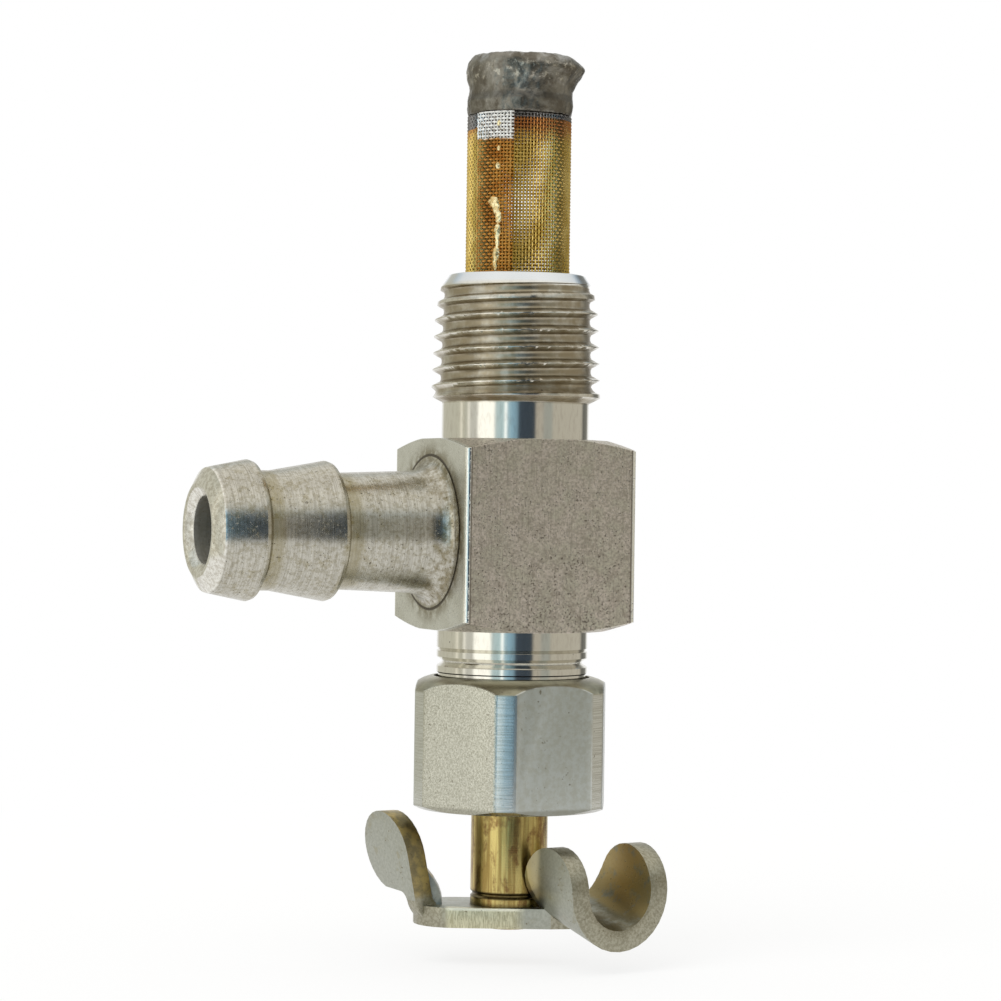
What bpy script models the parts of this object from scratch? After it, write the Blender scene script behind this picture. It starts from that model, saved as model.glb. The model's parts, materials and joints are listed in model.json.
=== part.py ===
"""Fuel tap: a valve body with a taper-threaded inlet stem, a gauze strainer, a pressed-in hose tail,
a gland with packing, a screwed spindle and a pressed wing handle.

The origin is the centre of the inlet stem's end face. +Z runs out of the stem along the strainer, -X
along the hose tail. Lengths are in metres.
"""
import math

import bmesh
import bpy
from mathutils import Matrix, Vector

MM = 0.001

# Fits: face to face, fixed in a bore, turning or sliding in a bore
SEAT_GAP = 0.02 * MM
FIXED_GAP = 0.2 * MM
RUNNING_GAP = 0.3 * MM

# Inlet stem, downwards from its end face at z = 0
THREAD_PITCH = 1.3368 * MM
THREAD_DEPTH = 0.8 * MM
THREAD_CREST_RADIUS = 6.84 * MM
THREAD_TAPER = 1 / 32
THREAD_LENGTH = 10.3 * MM
THREAD_FLANK_ANGLE = math.radians(27.5)
THREAD_ROOT_FLAT = 0.38 * MM
THREAD_LEAD_LENGTH = 3.4 * MM
STEM_END_RADIUS = 5.55 * MM
STEM_END_CHAMFER = 0.95 * MM
STEM_RADIUS = 5.95 * MM
STEM_LENGTH = 13.3 * MM

# Square block
BLOCK_WIDTH = 14.8 * MM
BLOCK_HEIGHT = 15.3 * MM
BLOCK_EDGE_BREAK = 0.4 * MM
BLOCK_CHAMFER_ANGLE = math.radians(17)
BLOCK_CHAMFER_START = 0.2 * MM
OUTLET_DROP = 7.5 * MM

# Lower neck and packing box
NECK_RADIUS = 6.1 * MM
NECK_LENGTH = 9.4 * MM
NECK_END_CHAMFER = 0.5 * MM
NECK_LINE_DROP = 1.6 * MM
NECK_LINE_DEPTH = 0.15 * MM
NECK_LINE_HALF_WIDTH = 0.12 * MM
NECK_GROOVE_DROP = 2.6 * MM
NECK_GROOVE_DEPTH = 0.45 * MM
NECK_GROOVE_HALF_WIDTH = 0.35 * MM
PACKING_BOX_RADIUS = 4.5 * MM
PACKING_BOX_DEPTH = 5.5 * MM

# Bores
INLET_BORE_RADIUS = 3.25 * MM
SEAT_PORT_RADIUS = 2.2 * MM
SEAT_THICKNESS = 2.0 * MM
SEAT_DROP = 18.0 * MM
OUTLET_BORE_RADIUS = 2.65 * MM

# Gauze strainer and its solder cap
GAUZE_RADIUS = 4.23 * MM
GAUZE_WALL = 0.4 * MM
GAUZE_HEIGHT = 12.8 * MM
GAUZE_INSERTION = 3.0 * MM
GAUZE_ROWS = 8
GAUZE_COLUMNS = 8
GAUZE_WIRE = 0.42 * MM
GAUZE_RIDGE = 0.1 * MM
LAP_WIDTH = 2.9 * MM
LAP_RISE = 0.2 * MM
LAP_ANGLE = math.radians(-143)
CAP_HEIGHT = 5.5 * MM
CAP_PLUG_LENGTH = 1.6 * MM
CAP_BULGE = 1.0 * MM
CAP_BULGE_ANGLE = math.radians(-24)
CAP_BULGE_LEVEL = 0.74
CAP_BULGE_SPREAD = 0.2
# Rings of the cap: share of its height, and how far it stands out as a share of the gauze's radius
CAP_RINGS = ((0, 0), (0.2, 0.02), (0.4, -0.02), (0.6, 0.0), (0.75, 0.03), (0.87, 0.0), (0.96, -0.09))

# Hose tail, outwards from the block's left face
TAIL_LENGTH = 19.45 * MM
TAIL_SPIGOT_RADIUS = 4.0 * MM
TAIL_SPIGOT_LENGTH = 3.0 * MM
TAIL_FLARE_RADIUS = 6.05 * MM
TAIL_FLARE_LENGTH = 2.2 * MM
TAIL_ROOT_RADIUS = 4.85 * MM
TAIL_SHANK_RADIUS = 4.6 * MM
TAIL_RIDGE_RADIUS = 5.53 * MM
TAIL_RIDGE_ROUND = 0.5 * MM
TAIL_VALLEY_RADIUS = 4.7 * MM
TAIL_SHOULDER_RADIUS = 4.9 * MM
TAIL_INNER_RIDGE = 9.15 * MM
TAIL_OUTER_RIDGE = 15.6 * MM
TAIL_CONE_LENGTH = 4.5 * MM
TAIL_OUTER_CONE_LENGTH = 3.1 * MM
TAIL_RIM_RADIUS = 3.65 * MM
TAIL_COUNTERSINK = 0.6 * MM

# Gland nut, follower and packing
NUT_ACROSS_FLATS = 15.1 * MM
NUT_CORNER_RADIUS = 8.25 * MM
NUT_HEIGHT = 10.6 * MM
NUT_DROP = 3.8 * MM
NUT_FLOOR = 2.0 * MM
NUT_TOP_LAND = 0.3 * MM
NUT_TOP_CHAMFER = 1.05 * MM
NUT_BOTTOM_CHAMFER = 0.35 * MM
NUT_CORNER_ANGLE = math.radians(2.8)
PACKING_WASHER_THICKNESS = 0.6 * MM
PACKING_RING_COUNT = 3
PACKING_RING_THICKNESS = 1.3 * MM
FOLLOWER_FLANGE_THICKNESS = 1.3 * MM

# Spindle and valve cone
SPINDLE_RADIUS = 3.1 * MM
SPINDLE_THREAD_RADIUS = 3.45 * MM
SPINDLE_THREAD_LENGTH = 5.2 * MM
SPINDLE_TRAVEL = 1.5 * MM
SPINDLE_NOSE_RADIUS = 2.3 * MM
SPINDLE_GROOVE_RISE = 0.9 * MM
SPINDLE_GROOVE_DEPTH = 0.15 * MM
SPINDLE_GROOVE_HALF_WIDTH = 0.2 * MM
TENON_RADIUS = 1.6 * MM
PEEN_RADIUS = 2.3 * MM
PEEN_HEIGHT = 0.35 * MM
CONE_HEAD_RADIUS = 2.9 * MM
CONE_HEAD_HEIGHT = 0.8 * MM
CONE_TIP_RADIUS = 1.2 * MM
CONE_STEM_RADIUS = 1.2 * MM
CONE_STEM_LENGTH = 2.6 * MM

# Wing handle, in its own frame: X across its ears, Y along them, Z up
HANDLE_TURN = math.radians(9.4)
HANDLE_TOP_Z = -50.8 * MM
SHEET = 1.6 * MM
STRIP_HALF_WIDTH = 3.4 * MM
STRIP_ANGLE = math.radians(-33.4)
STRIP_END_REACH = 4.3 * MM
EAR_RADIUS = 3.25 * MM
EAR_BEND_RADIUS = 2.5 * MM
EAR_LEAN = math.radians(12)
EAR_OUTER_X = -8.44 * MM
EAR_CENTRE_Y = 5.2 * MM
EAR_CENTRE_RISE = 4.15 * MM
EAR_NECK_WIDTH = 1.3 * MM
EAR_NECK_FILLET = 0.8 * MM
EAR_ROOT_REACH = 7.5 * MM
EAR_ROOT_FRONT = 1.5 * MM
EAR_ROOT_DEPTH = 1.8 * MM
EAR_ROOT_TOP_WIDTH = 0.8 * MM
EAR_ROOT_SPREAD = 1.35 * MM
EAR_ROOT_RISE = 2.84 * MM
STRIP_LAP = 0.3 * MM
TROUGH_LEFT_X = -0.76 * MM
TROUGH_WIDTH = 9.2 * MM
TROUGH_BACK_Y = -5.0 * MM
TROUGH_FRONT_Y = -10.2 * MM
TROUGH_SLOPE = math.radians(14)
TROUGH_EAR_RADIUS = 3.5 * MM
TROUGH_EAR_RISE = 5.2 * MM

# Facets of round shapes
ROUND_STEPS = 32
FINE_STEPS = 48
COARSE_STEPS = 24

# Places that follow from the sizes above
BLOCK_TOP_Z = -STEM_LENGTH
BLOCK_BOTTOM_Z = BLOCK_TOP_Z - BLOCK_HEIGHT
OUTLET_Z = BLOCK_TOP_Z - OUTLET_DROP
NECK_END_Z = BLOCK_BOTTOM_Z - NECK_LENGTH
PACKING_FLOOR_Z = NECK_END_Z + PACKING_BOX_DEPTH
NUT_TOP_Z = BLOCK_BOTTOM_Z - NUT_DROP
NUT_BOTTOM_Z = NUT_TOP_Z - NUT_HEIGHT
NUT_FLOOR_Z = NUT_BOTTOM_Z + NUT_FLOOR
CHAMBER_RADIUS = SPINDLE_THREAD_RADIUS + RUNNING_GAP
SPINDLE_HOLE_RADIUS = SPINDLE_RADIUS + RUNNING_GAP
FACE_X = -BLOCK_WIDTH / 2
HANDLE_MIDDLE_Z = HANDLE_TOP_Z - SHEET / 2
HANDLE_BOTTOM_Z = HANDLE_TOP_Z - SHEET


def clear_scene():
    for obj in list(bpy.data.objects):
        bpy.data.objects.remove(obj)


def new_collection(name, helper=False):
    collection = bpy.data.collections.new(name)
    bpy.context.scene.collection.children.link(collection)
    collection.hide_render = helper
    return collection


def material(name, colour, metallic, roughness):
    made = bpy.data.materials.new(name)
    made.use_nodes = True
    shader = made.node_tree.nodes["Principled BSDF"]
    shader.inputs["Base Color"].default_value = (*colour, 1)
    shader.inputs["Metallic"].default_value = metallic
    shader.inputs["Roughness"].default_value = roughness
    made.diffuse_color = (*colour, 1)
    return made


def place(obj, collection, surface=None):
    """Puts an object in a collection, with its material and smooth round faces."""
    for old in list(obj.users_collection):
        old.objects.unlink(obj)
    collection.objects.link(obj)
    if surface:
        obj.data.materials.append(surface)
        obj.data.shade_smooth()
        obj.data.set_sharp_from_angle(angle=math.radians(35))
    else:
        obj.hide_render = True
        obj.display_type = "WIRE"
    return obj


def turned(name, profile, collection, surface=None, steps=ROUND_STEPS):
    """A turned solid from (radius, z) points that run down its outer side and back up its bore."""
    mesh = bpy.data.meshes.new(name)
    edges = [(i, i + 1) for i in range(len(profile) - 1)]
    if profile[0][0] > 0 or profile[-1][0] > 0:
        edges.append((len(profile) - 1, 0))
    mesh.from_pydata([(r, 0, z) for r, z in profile], edges, [])
    obj = bpy.data.objects.new(name, mesh)
    screw = obj.modifiers.new("Turn", "SCREW")
    screw.axis = "Z"
    screw.angle = 2 * math.pi
    screw.steps = screw.render_steps = steps
    screw.use_merge_vertices = True
    screw.merge_threshold = 0.00001
    return place(obj, collection, surface)


def ring_profile(outer, inner, top, bottom):
    return [(outer, top), (outer, bottom), (inner, bottom), (inner, top)]


def rod_profile(radius, top, bottom):
    return [(0, top), (radius, top), (radius, bottom), (0, bottom)]


def from_bmesh(name, shape, collection, surface=None):
    mesh = bpy.data.meshes.new(name)
    bmesh.ops.recalc_face_normals(shape, faces=shape.faces)
    shape.to_mesh(mesh)
    shape.free()
    return place(bpy.data.objects.new(name, mesh), collection, surface)


def boolean(obj, operation, other):
    modifier = obj.modifiers.new(f"{operation} {other.name}", "BOOLEAN")
    modifier.operation = operation
    modifier.object = other
    return modifier


def extruded(name, outline, thickness, frame, collection):
    """A flat outline in a frame's XY plane, made half its thickness to each side, as a closed mesh."""
    curve = bpy.data.curves.new(name, "CURVE")
    curve.dimensions = "2D"
    curve.fill_mode = "BOTH"
    curve.extrude = thickness / 2
    spline = curve.splines.new("POLY")
    spline.points.add(len(outline) - 1)
    for point, (x, y) in zip(spline.points, outline):
        point.co = (x, y, 0, 1)
    spline.use_cyclic_u = True
    guide = bpy.data.objects.new(name, curve)
    collection.objects.link(guide)
    bpy.context.view_layer.update()
    evaluated = guide.evaluated_get(bpy.context.evaluated_depsgraph_get())
    shape = bmesh.new()
    shape.from_mesh(bpy.data.meshes.new_from_object(evaluated))
    bpy.data.objects.remove(guide)
    bmesh.ops.remove_doubles(shape, verts=shape.verts, dist=0.000001)
    obj = from_bmesh(name, shape, collection)
    obj.matrix_world = frame
    return obj


def arc(centre, radius, start, end, count):
    """Points of an arc from one angle to another, in degrees."""
    angles = [math.radians(start + (end - start) * i / count) for i in range(count + 1)]
    return [(centre[0] + radius * math.cos(a), centre[1] + radius * math.sin(a)) for a in angles]


def crest_radius(z):
    """Radius of the taper thread's crests at a height."""
    return THREAD_CREST_RADIUS - (z + THREAD_LENGTH) * THREAD_TAPER


def thread_groove(collection):
    """The groove of the right-hand taper thread, which runs out above the plain stem."""
    margin = THREAD_DEPTH / 8
    top = THREAD_PITCH
    turns = (THREAD_LENGTH + top) / THREAD_PITCH
    run_out = THREAD_PITCH
    count = round(turns * ROUND_STEPS)
    shape = bmesh.new()
    sections = []
    for i in range(count + 1):
        z = -THREAD_LENGTH + THREAD_PITCH * i / ROUND_STEPS
        angle = 2 * math.pi * (i + 0.5) / ROUND_STEPS
        lift = max(0, 1 - (z + THREAD_LENGTH) / run_out) * (THREAD_DEPTH + margin)
        root = crest_radius(z) - THREAD_DEPTH + lift
        outer = crest_radius(z) + margin + lift
        spread = (outer - root) * math.tan(THREAD_FLANK_ANGLE) + THREAD_ROOT_FLAT / 2
        corners = (
            (outer, spread), (root, THREAD_ROOT_FLAT / 2),
            (root, -THREAD_ROOT_FLAT / 2), (outer, -spread),
        )
        turn = Matrix.Rotation(angle, 3, "Z")
        sections.append([shape.verts.new(turn @ Vector((r, 0, z + dz))) for r, dz in corners])
    for a, b in zip(sections, sections[1:]):
        for j in range(4):
            shape.faces.new((a[j], a[(j + 1) % 4], b[(j + 1) % 4], b[j]))
    shape.faces.new(sections[0])
    shape.faces.new(reversed(sections[-1]))
    return from_bmesh("thread_groove", shape, collection)


def body_blank_profile():
    """Outer profile of the stem and the lower neck, which the block covers in the middle."""
    line_z = BLOCK_BOTTOM_Z - NECK_LINE_DROP
    groove_z = BLOCK_BOTTOM_Z - NECK_GROOVE_DROP
    return [
        (0, 0),
        (STEM_END_RADIUS, 0),
        (crest_radius(0) - THREAD_DEPTH / 2, -STEM_END_CHAMFER),
        (crest_radius(-THREAD_LEAD_LENGTH), -THREAD_LEAD_LENGTH),
        (crest_radius(-THREAD_LENGTH), -THREAD_LENGTH + THREAD_DEPTH / 2),
        (STEM_RADIUS, -THREAD_LENGTH),
        (STEM_RADIUS, BLOCK_TOP_Z - BLOCK_HEIGHT / 2),
        (NECK_RADIUS, BLOCK_TOP_Z - BLOCK_HEIGHT / 2),
        (NECK_RADIUS, line_z + NECK_LINE_HALF_WIDTH),
        (NECK_RADIUS - NECK_LINE_DEPTH, line_z),
        (NECK_RADIUS, line_z - NECK_LINE_HALF_WIDTH),
        (NECK_RADIUS, groove_z + NECK_GROOVE_HALF_WIDTH),
        (NECK_RADIUS - NECK_GROOVE_DEPTH, groove_z),
        (NECK_RADIUS, groove_z - NECK_GROOVE_HALF_WIDTH),
        (NECK_RADIUS, NECK_END_Z + NECK_END_CHAMFER),
        (NECK_RADIUS - NECK_END_CHAMFER, NECK_END_Z),
        (0, NECK_END_Z),
    ]


def square_block(collection):
    """The block with broken upright edges and its ends turned to a shallow cone."""
    shape = bmesh.new()
    bmesh.ops.create_cube(shape, size=1)
    bmesh.ops.scale(shape, verts=shape.verts, vec=(BLOCK_WIDTH, BLOCK_WIDTH, BLOCK_HEIGHT))
    bmesh.ops.translate(shape, verts=shape.verts, vec=(0, 0, (BLOCK_TOP_Z + BLOCK_BOTTOM_Z) / 2))
    upright = [e for e in shape.edges if abs(e.verts[0].co.z - e.verts[1].co.z) > BLOCK_HEIGHT / 2]
    bmesh.ops.bevel(shape, geom=upright, offset=BLOCK_EDGE_BREAK, segments=3, profile=0.5,
                    affect="EDGES")
    block = from_bmesh("block", shape, collection)
    start = BLOCK_WIDTH / 2 + BLOCK_CHAMFER_START
    reach = BLOCK_WIDTH
    drop = (reach - start) * math.tan(BLOCK_CHAMFER_ANGLE)
    envelope = turned("block_envelope", [
        (0, BLOCK_TOP_Z), (start, BLOCK_TOP_Z), (reach, BLOCK_TOP_Z - drop),
        (reach, BLOCK_BOTTOM_Z + drop), (start, BLOCK_BOTTOM_Z), (0, BLOCK_BOTTOM_Z),
    ], collection, steps=FINE_STEPS)
    boolean(block, "INTERSECT", envelope)
    return block


def through_bores(collection):
    """Everything bored along the axis: strainer shelf, inlet, seat port, chamber and packing box."""
    past = 1 * MM
    seat_top = -SEAT_DROP + SEAT_THICKNESS
    counterbore = GAUZE_RADIUS + FIXED_GAP
    return turned("through_bores", [
        (0, past),
        (counterbore, past),
        (counterbore, -GAUZE_INSERTION),
        (INLET_BORE_RADIUS, -GAUZE_INSERTION),
        (INLET_BORE_RADIUS, seat_top),
        (SEAT_PORT_RADIUS, seat_top),
        (SEAT_PORT_RADIUS, -SEAT_DROP),
        (CHAMBER_RADIUS, -SEAT_DROP),
        (CHAMBER_RADIUS, PACKING_FLOOR_Z),
        (PACKING_BOX_RADIUS, PACKING_FLOOR_Z),
        (PACKING_BOX_RADIUS, NECK_END_Z - past),
        (0, NECK_END_Z - past),
    ], collection)


def along_tail(obj):
    """Turns a shape made along +Z to run out of the block's left face, along -X."""
    obj.rotation_euler = (0, -math.pi / 2, 0)
    obj.location = (FACE_X, 0, OUTLET_Z)
    return obj


def valve_body(parts, cutters, surface):
    body = turned("valve_body", body_blank_profile(), parts, surface)
    boolean(body, "UNION", square_block(cutters))
    boolean(body, "DIFFERENCE", thread_groove(cutters))
    boolean(body, "DIFFERENCE", through_bores(cutters))
    socket_radius = TAIL_SPIGOT_RADIUS + FIXED_GAP
    socket_depth = TAIL_SPIGOT_LENGTH + SEAT_GAP
    outlet = turned("outlet_bore", [
        (0, 1 * MM), (socket_radius, 1 * MM), (socket_radius, -socket_depth),
        (OUTLET_BORE_RADIUS, -socket_depth), (OUTLET_BORE_RADIUS, FACE_X), (0, FACE_X),
    ], cutters)
    boolean(body, "DIFFERENCE", along_tail(outlet))


def hose_tail(parts, surface):
    """The turned tail with two barbs, its spigot and its bore."""
    half_round = TAIL_RIDGE_ROUND / 2
    rise = TAIL_FLARE_RADIUS - TAIL_ROOT_RADIUS
    flare = [(TAIL_FLARE_RADIUS + rise * dr, SEAT_GAP + TAIL_FLARE_LENGTH * (1 + dz))
             for dr, dz in arc((0, 0), 1, 180, 270, 5)]
    outer_cone_end = TAIL_OUTER_RIDGE + TAIL_OUTER_CONE_LENGTH
    ridge_back = TAIL_RIDGE_RADIUS - TAIL_RIDGE_ROUND
    profile = [
        (TAIL_RIM_RADIUS, TAIL_LENGTH),
        (TAIL_SHOULDER_RADIUS, outer_cone_end),
        (TAIL_RIDGE_RADIUS, TAIL_OUTER_RIDGE),
        (TAIL_RIDGE_RADIUS - half_round / 2, TAIL_OUTER_RIDGE - half_round),
        (ridge_back, TAIL_OUTER_RIDGE - TAIL_RIDGE_ROUND),
        (TAIL_VALLEY_RADIUS, TAIL_OUTER_RIDGE - TAIL_RIDGE_ROUND - half_round),
        (TAIL_VALLEY_RADIUS, TAIL_INNER_RIDGE + TAIL_CONE_LENGTH),
        (TAIL_RIDGE_RADIUS, TAIL_INNER_RIDGE),
        (TAIL_RIDGE_RADIUS - half_round / 2, TAIL_INNER_RIDGE - half_round),
        (ridge_back, TAIL_INNER_RIDGE - TAIL_RIDGE_ROUND),
        (TAIL_SHANK_RADIUS, TAIL_INNER_RIDGE - TAIL_RIDGE_ROUND - half_round),
        *flare,
        (TAIL_SPIGOT_RADIUS, SEAT_GAP),
        (TAIL_SPIGOT_RADIUS, -TAIL_SPIGOT_LENGTH),
        (OUTLET_BORE_RADIUS, -TAIL_SPIGOT_LENGTH),
        (OUTLET_BORE_RADIUS, TAIL_LENGTH - TAIL_COUNTERSINK),
    ]
    return along_tail(turned("hose_tail", profile, parts, surface))


def gauze_windows(collection):
    """The open meshes of the gauze, which leave out the soldered lap."""
    lap_half_angle = math.asin(LAP_WIDTH / 2 / GAUZE_RADIUS)
    open_angle = 2 * (math.pi - lap_half_angle)
    row_pitch = GAUZE_HEIGHT / GAUZE_ROWS
    width = open_angle / GAUZE_COLUMNS * GAUZE_RADIUS - GAUZE_WIRE
    height = row_pitch - GAUZE_WIRE
    shape = bmesh.new()
    for row in range(GAUZE_ROWS):
        z = row_pitch * (row + 0.5)
        for column in range(GAUZE_COLUMNS):
            angle = LAP_ANGLE + lap_half_angle + open_angle * (column + 0.5) / GAUZE_COLUMNS
            spot = Matrix.Rotation(angle, 4, "Z") @ Matrix.Translation((GAUZE_RADIUS, 0, z))
            size = Matrix.Diagonal((4 * GAUZE_WALL, width, height, 1))
            bmesh.ops.create_cube(shape, size=1, matrix=spot @ size)
    return from_bmesh("gauze_windows", shape, collection)


def strainer_gauze(parts, cutters, surface):
    """A tube with raised hoops, a doubled lap and open meshes above the stem."""
    wall_radius = GAUZE_RADIUS - GAUZE_RIDGE
    row_pitch = GAUZE_HEIGHT / GAUZE_ROWS
    half_wire = GAUZE_WIRE / 3
    top, bottom = GAUZE_HEIGHT - SEAT_GAP, SEAT_GAP - GAUZE_INSERTION
    profile = [(wall_radius, top)]
    for row in range(GAUZE_ROWS - 1, 0, -1):
        z = row * row_pitch
        profile += [(wall_radius, z + half_wire), (GAUZE_RADIUS, z), (wall_radius, z - half_wire)]
    inner = GAUZE_RADIUS - GAUZE_WALL
    profile += [(wall_radius, bottom), (inner, bottom), (inner, top)]
    gauze = turned("strainer_gauze", profile, parts, surface, steps=COARSE_STEPS)
    boolean(gauze, "DIFFERENCE", gauze_windows(cutters))
    lap = turned("gauze_lap", ring_profile(wall_radius + LAP_RISE, inner + GAUZE_WALL / 3,
                                           top - GAUZE_WIRE / 2, half_wire), cutters, steps=COARSE_STEPS)
    shape = bmesh.new()
    bmesh.ops.create_cube(shape, size=1)
    bmesh.ops.scale(shape, verts=shape.verts, vec=(2 * GAUZE_RADIUS, LAP_WIDTH, 2 * GAUZE_HEIGHT))
    strip = from_bmesh("lap_strip", shape, cutters)
    strip.rotation_euler = (0, 0, LAP_ANGLE)
    strip.location = Matrix.Rotation(LAP_ANGLE, 3, "Z") @ Vector((1.5 * GAUZE_RADIUS, 0, 0))
    boolean(lap, "INTERSECT", strip)
    boolean(gauze, "UNION", lap)


def strainer_cap(parts, cutters, surface):
    """The solder lump: a plug in the gauze, a skirt as wide as it, and a top that bulges to one side."""
    plug_radius = GAUZE_RADIUS - GAUZE_WALL - FIXED_GAP
    base = GAUZE_HEIGHT
    shape = bmesh.new()
    rings = []
    for level, swell in CAP_RINGS:
        ring = []
        for i in range(ROUND_STEPS):
            angle = 2 * math.pi * i / ROUND_STEPS
            side = max(0, math.cos(angle - CAP_BULGE_ANGLE)) ** 2
            height = math.exp(-(((level - CAP_BULGE_LEVEL) / CAP_BULGE_SPREAD) ** 2))
            bulge = CAP_BULGE * side * height
            lump = 0.012 * math.sin(3 * angle + 9 * level) + 0.01 * math.sin(5 * angle - 6 * level)
            radius = GAUZE_RADIUS * (1 + swell + lump * min(1, 4 * level)) + bulge
            ring.append(shape.verts.new((radius * math.cos(angle), radius * math.sin(angle),
                                         base + CAP_HEIGHT * level)))
        rings.append(ring)
    for lower, upper in zip(rings, rings[1:]):
        for i in range(ROUND_STEPS):
            j = (i + 1) % ROUND_STEPS
            shape.faces.new((lower[i], lower[j], upper[j], upper[i]))
    crown = shape.verts.new((0, 0, base + CAP_HEIGHT))
    for i in range(ROUND_STEPS):
        shape.faces.new((rings[-1][i], rings[-1][(i + 1) % ROUND_STEPS], crown))
    shape.faces.new(rings[0])
    cap = from_bmesh("strainer_cap", shape, parts, surface)
    plug = turned("cap_plug", rod_profile(plug_radius, base + CAP_HEIGHT / 3, base - CAP_PLUG_LENGTH),
                  cutters)
    boolean(cap, "UNION", plug)


def gland_nut(parts, cutters, surface):
    """The hexagon with its corners turned off, bored for the neck and the spindle."""
    corner = NUT_ACROSS_FLATS / 2 / math.cos(math.pi / 6)
    land = NECK_RADIUS + FIXED_GAP + NUT_TOP_LAND
    nut = turned("gland_nut", [
        (0, NUT_TOP_Z),
        (land, NUT_TOP_Z),
        ((land + NUT_CORNER_RADIUS) / 2, NUT_TOP_Z - NUT_TOP_CHAMFER / 3),
        (NUT_CORNER_RADIUS, NUT_TOP_Z - NUT_TOP_CHAMFER),
        (NUT_CORNER_RADIUS, NUT_BOTTOM_Z + NUT_BOTTOM_CHAMFER),
        (NUT_CORNER_RADIUS - 2 * NUT_BOTTOM_CHAMFER, NUT_BOTTOM_Z),
        (0, NUT_BOTTOM_Z),
    ], parts, surface, steps=FINE_STEPS)
    shape = bmesh.new()
    bmesh.ops.create_cone(shape, cap_ends=True, segments=6, radius1=corner, radius2=corner,
                          depth=2 * NUT_HEIGHT)
    hexagon = from_bmesh("hexagon", shape, cutters)
    hexagon.rotation_euler = (0, 0, NUT_CORNER_ANGLE - math.pi / 2)
    hexagon.location = (0, 0, NUT_TOP_Z - NUT_HEIGHT / 2)
    boolean(nut, "INTERSECT", hexagon)
    bore = NECK_RADIUS + FIXED_GAP
    past = 1 * MM
    boolean(nut, "DIFFERENCE", turned("nut_bore", [
        (0, NUT_TOP_Z + past), (bore, NUT_TOP_Z + past), (bore, NUT_FLOOR_Z),
        (SPINDLE_HOLE_RADIUS, NUT_FLOOR_Z), (SPINDLE_HOLE_RADIUS, NUT_BOTTOM_Z - past),
        (0, NUT_BOTTOM_Z - past),
    ], cutters))


def gland_packing(parts, brass, fibre):
    """Washer, packing rings and follower, stacked from the packing box's floor to the nut's floor."""
    outer = PACKING_BOX_RADIUS - FIXED_GAP
    top = PACKING_FLOOR_Z - SEAT_GAP
    bottom = top - PACKING_WASHER_THICKNESS
    turned("packing_washer", ring_profile(outer, SPINDLE_HOLE_RADIUS, top, bottom), parts, brass)
    for i in range(PACKING_RING_COUNT):
        top = bottom - SEAT_GAP
        bottom = top - PACKING_RING_THICKNESS
        profile = ring_profile(outer, SPINDLE_HOLE_RADIUS, top, bottom)
        turned(f"gland_packing_{i + 1}", profile, parts, fibre)
    flange_top = NUT_FLOOR_Z + SEAT_GAP + FOLLOWER_FLANGE_THICKNESS
    flange_radius = NECK_RADIUS - FIXED_GAP
    turned("gland_follower", [
        (outer, bottom - SEAT_GAP), (outer, flange_top), (flange_radius, flange_top),
        (flange_radius, NUT_FLOOR_Z + SEAT_GAP), (SPINDLE_HOLE_RADIUS, NUT_FLOOR_Z + SEAT_GAP),
        (SPINDLE_HOLE_RADIUS, bottom - SEAT_GAP),
    ], parts, brass)


def cone_base_z():
    """Height where the cone meets its head: its flank passes the seat's edge with the running gap."""
    return -SEAT_DROP - (CONE_HEAD_RADIUS - SEAT_PORT_RADIUS) - RUNNING_GAP


def valve_cone(parts, surface):
    """The loose cone, with a stem that hangs in the spindle's nose."""
    base = cone_base_z()
    head_bottom = base - CONE_HEAD_HEIGHT
    turned("valve_cone", [
        (0, base + CONE_HEAD_RADIUS - CONE_TIP_RADIUS),
        (CONE_TIP_RADIUS, base + CONE_HEAD_RADIUS - CONE_TIP_RADIUS),
        (CONE_HEAD_RADIUS, base),
        (CONE_HEAD_RADIUS, head_bottom),
        (CONE_STEM_RADIUS, head_bottom),
        (CONE_STEM_RADIUS, head_bottom - CONE_STEM_LENGTH),
        (0, head_bottom - CONE_STEM_LENGTH),
    ], parts, surface)


def spindle(parts, surface):
    """The brass spindle: socketed nose, threaded part, plain rod with a thin groove, peened tenon."""
    nose_top = cone_base_z() - CONE_HEAD_HEIGHT - RUNNING_GAP
    thread_bottom = PACKING_FLOOR_Z + SPINDLE_TRAVEL + RUNNING_GAP
    thread_top = thread_bottom + SPINDLE_THREAD_LENGTH
    groove_z = HANDLE_TOP_Z + SPINDLE_GROOVE_RISE
    socket_radius = CONE_STEM_RADIUS + RUNNING_GAP
    socket_bottom = nose_top - CONE_STEM_LENGTH - RUNNING_GAP
    shoulder = HANDLE_TOP_Z + SEAT_GAP
    peen_top = HANDLE_BOTTOM_Z - SEAT_GAP
    turned("spindle", [
        (0, socket_bottom),
        (socket_radius, socket_bottom),
        (socket_radius, nose_top),
        (SPINDLE_NOSE_RADIUS, nose_top),
        (SPINDLE_NOSE_RADIUS, thread_top),
        (SPINDLE_THREAD_RADIUS, thread_top),
        (SPINDLE_THREAD_RADIUS, thread_bottom),
        (SPINDLE_RADIUS, thread_bottom),
        (SPINDLE_RADIUS, groove_z + SPINDLE_GROOVE_HALF_WIDTH),
        (SPINDLE_RADIUS - SPINDLE_GROOVE_DEPTH, groove_z),
        (SPINDLE_RADIUS, groove_z - SPINDLE_GROOVE_HALF_WIDTH),
        (SPINDLE_RADIUS, shoulder),
        (TENON_RADIUS, shoulder),
        (TENON_RADIUS, peen_top),
        (PEEN_RADIUS, peen_top),
        (PEEN_RADIUS * 0.7, peen_top - PEEN_HEIGHT),
        (0, peen_top - PEEN_HEIGHT),
    ], parts, surface)


def handle_frame():
    return Matrix.Rotation(HANDLE_TURN, 4, "Z")


def looking_along_y():
    """Frame whose X is the handle's X and whose Y is up."""
    return handle_frame() @ Matrix.Rotation(math.pi / 2, 4, "X")


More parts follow.
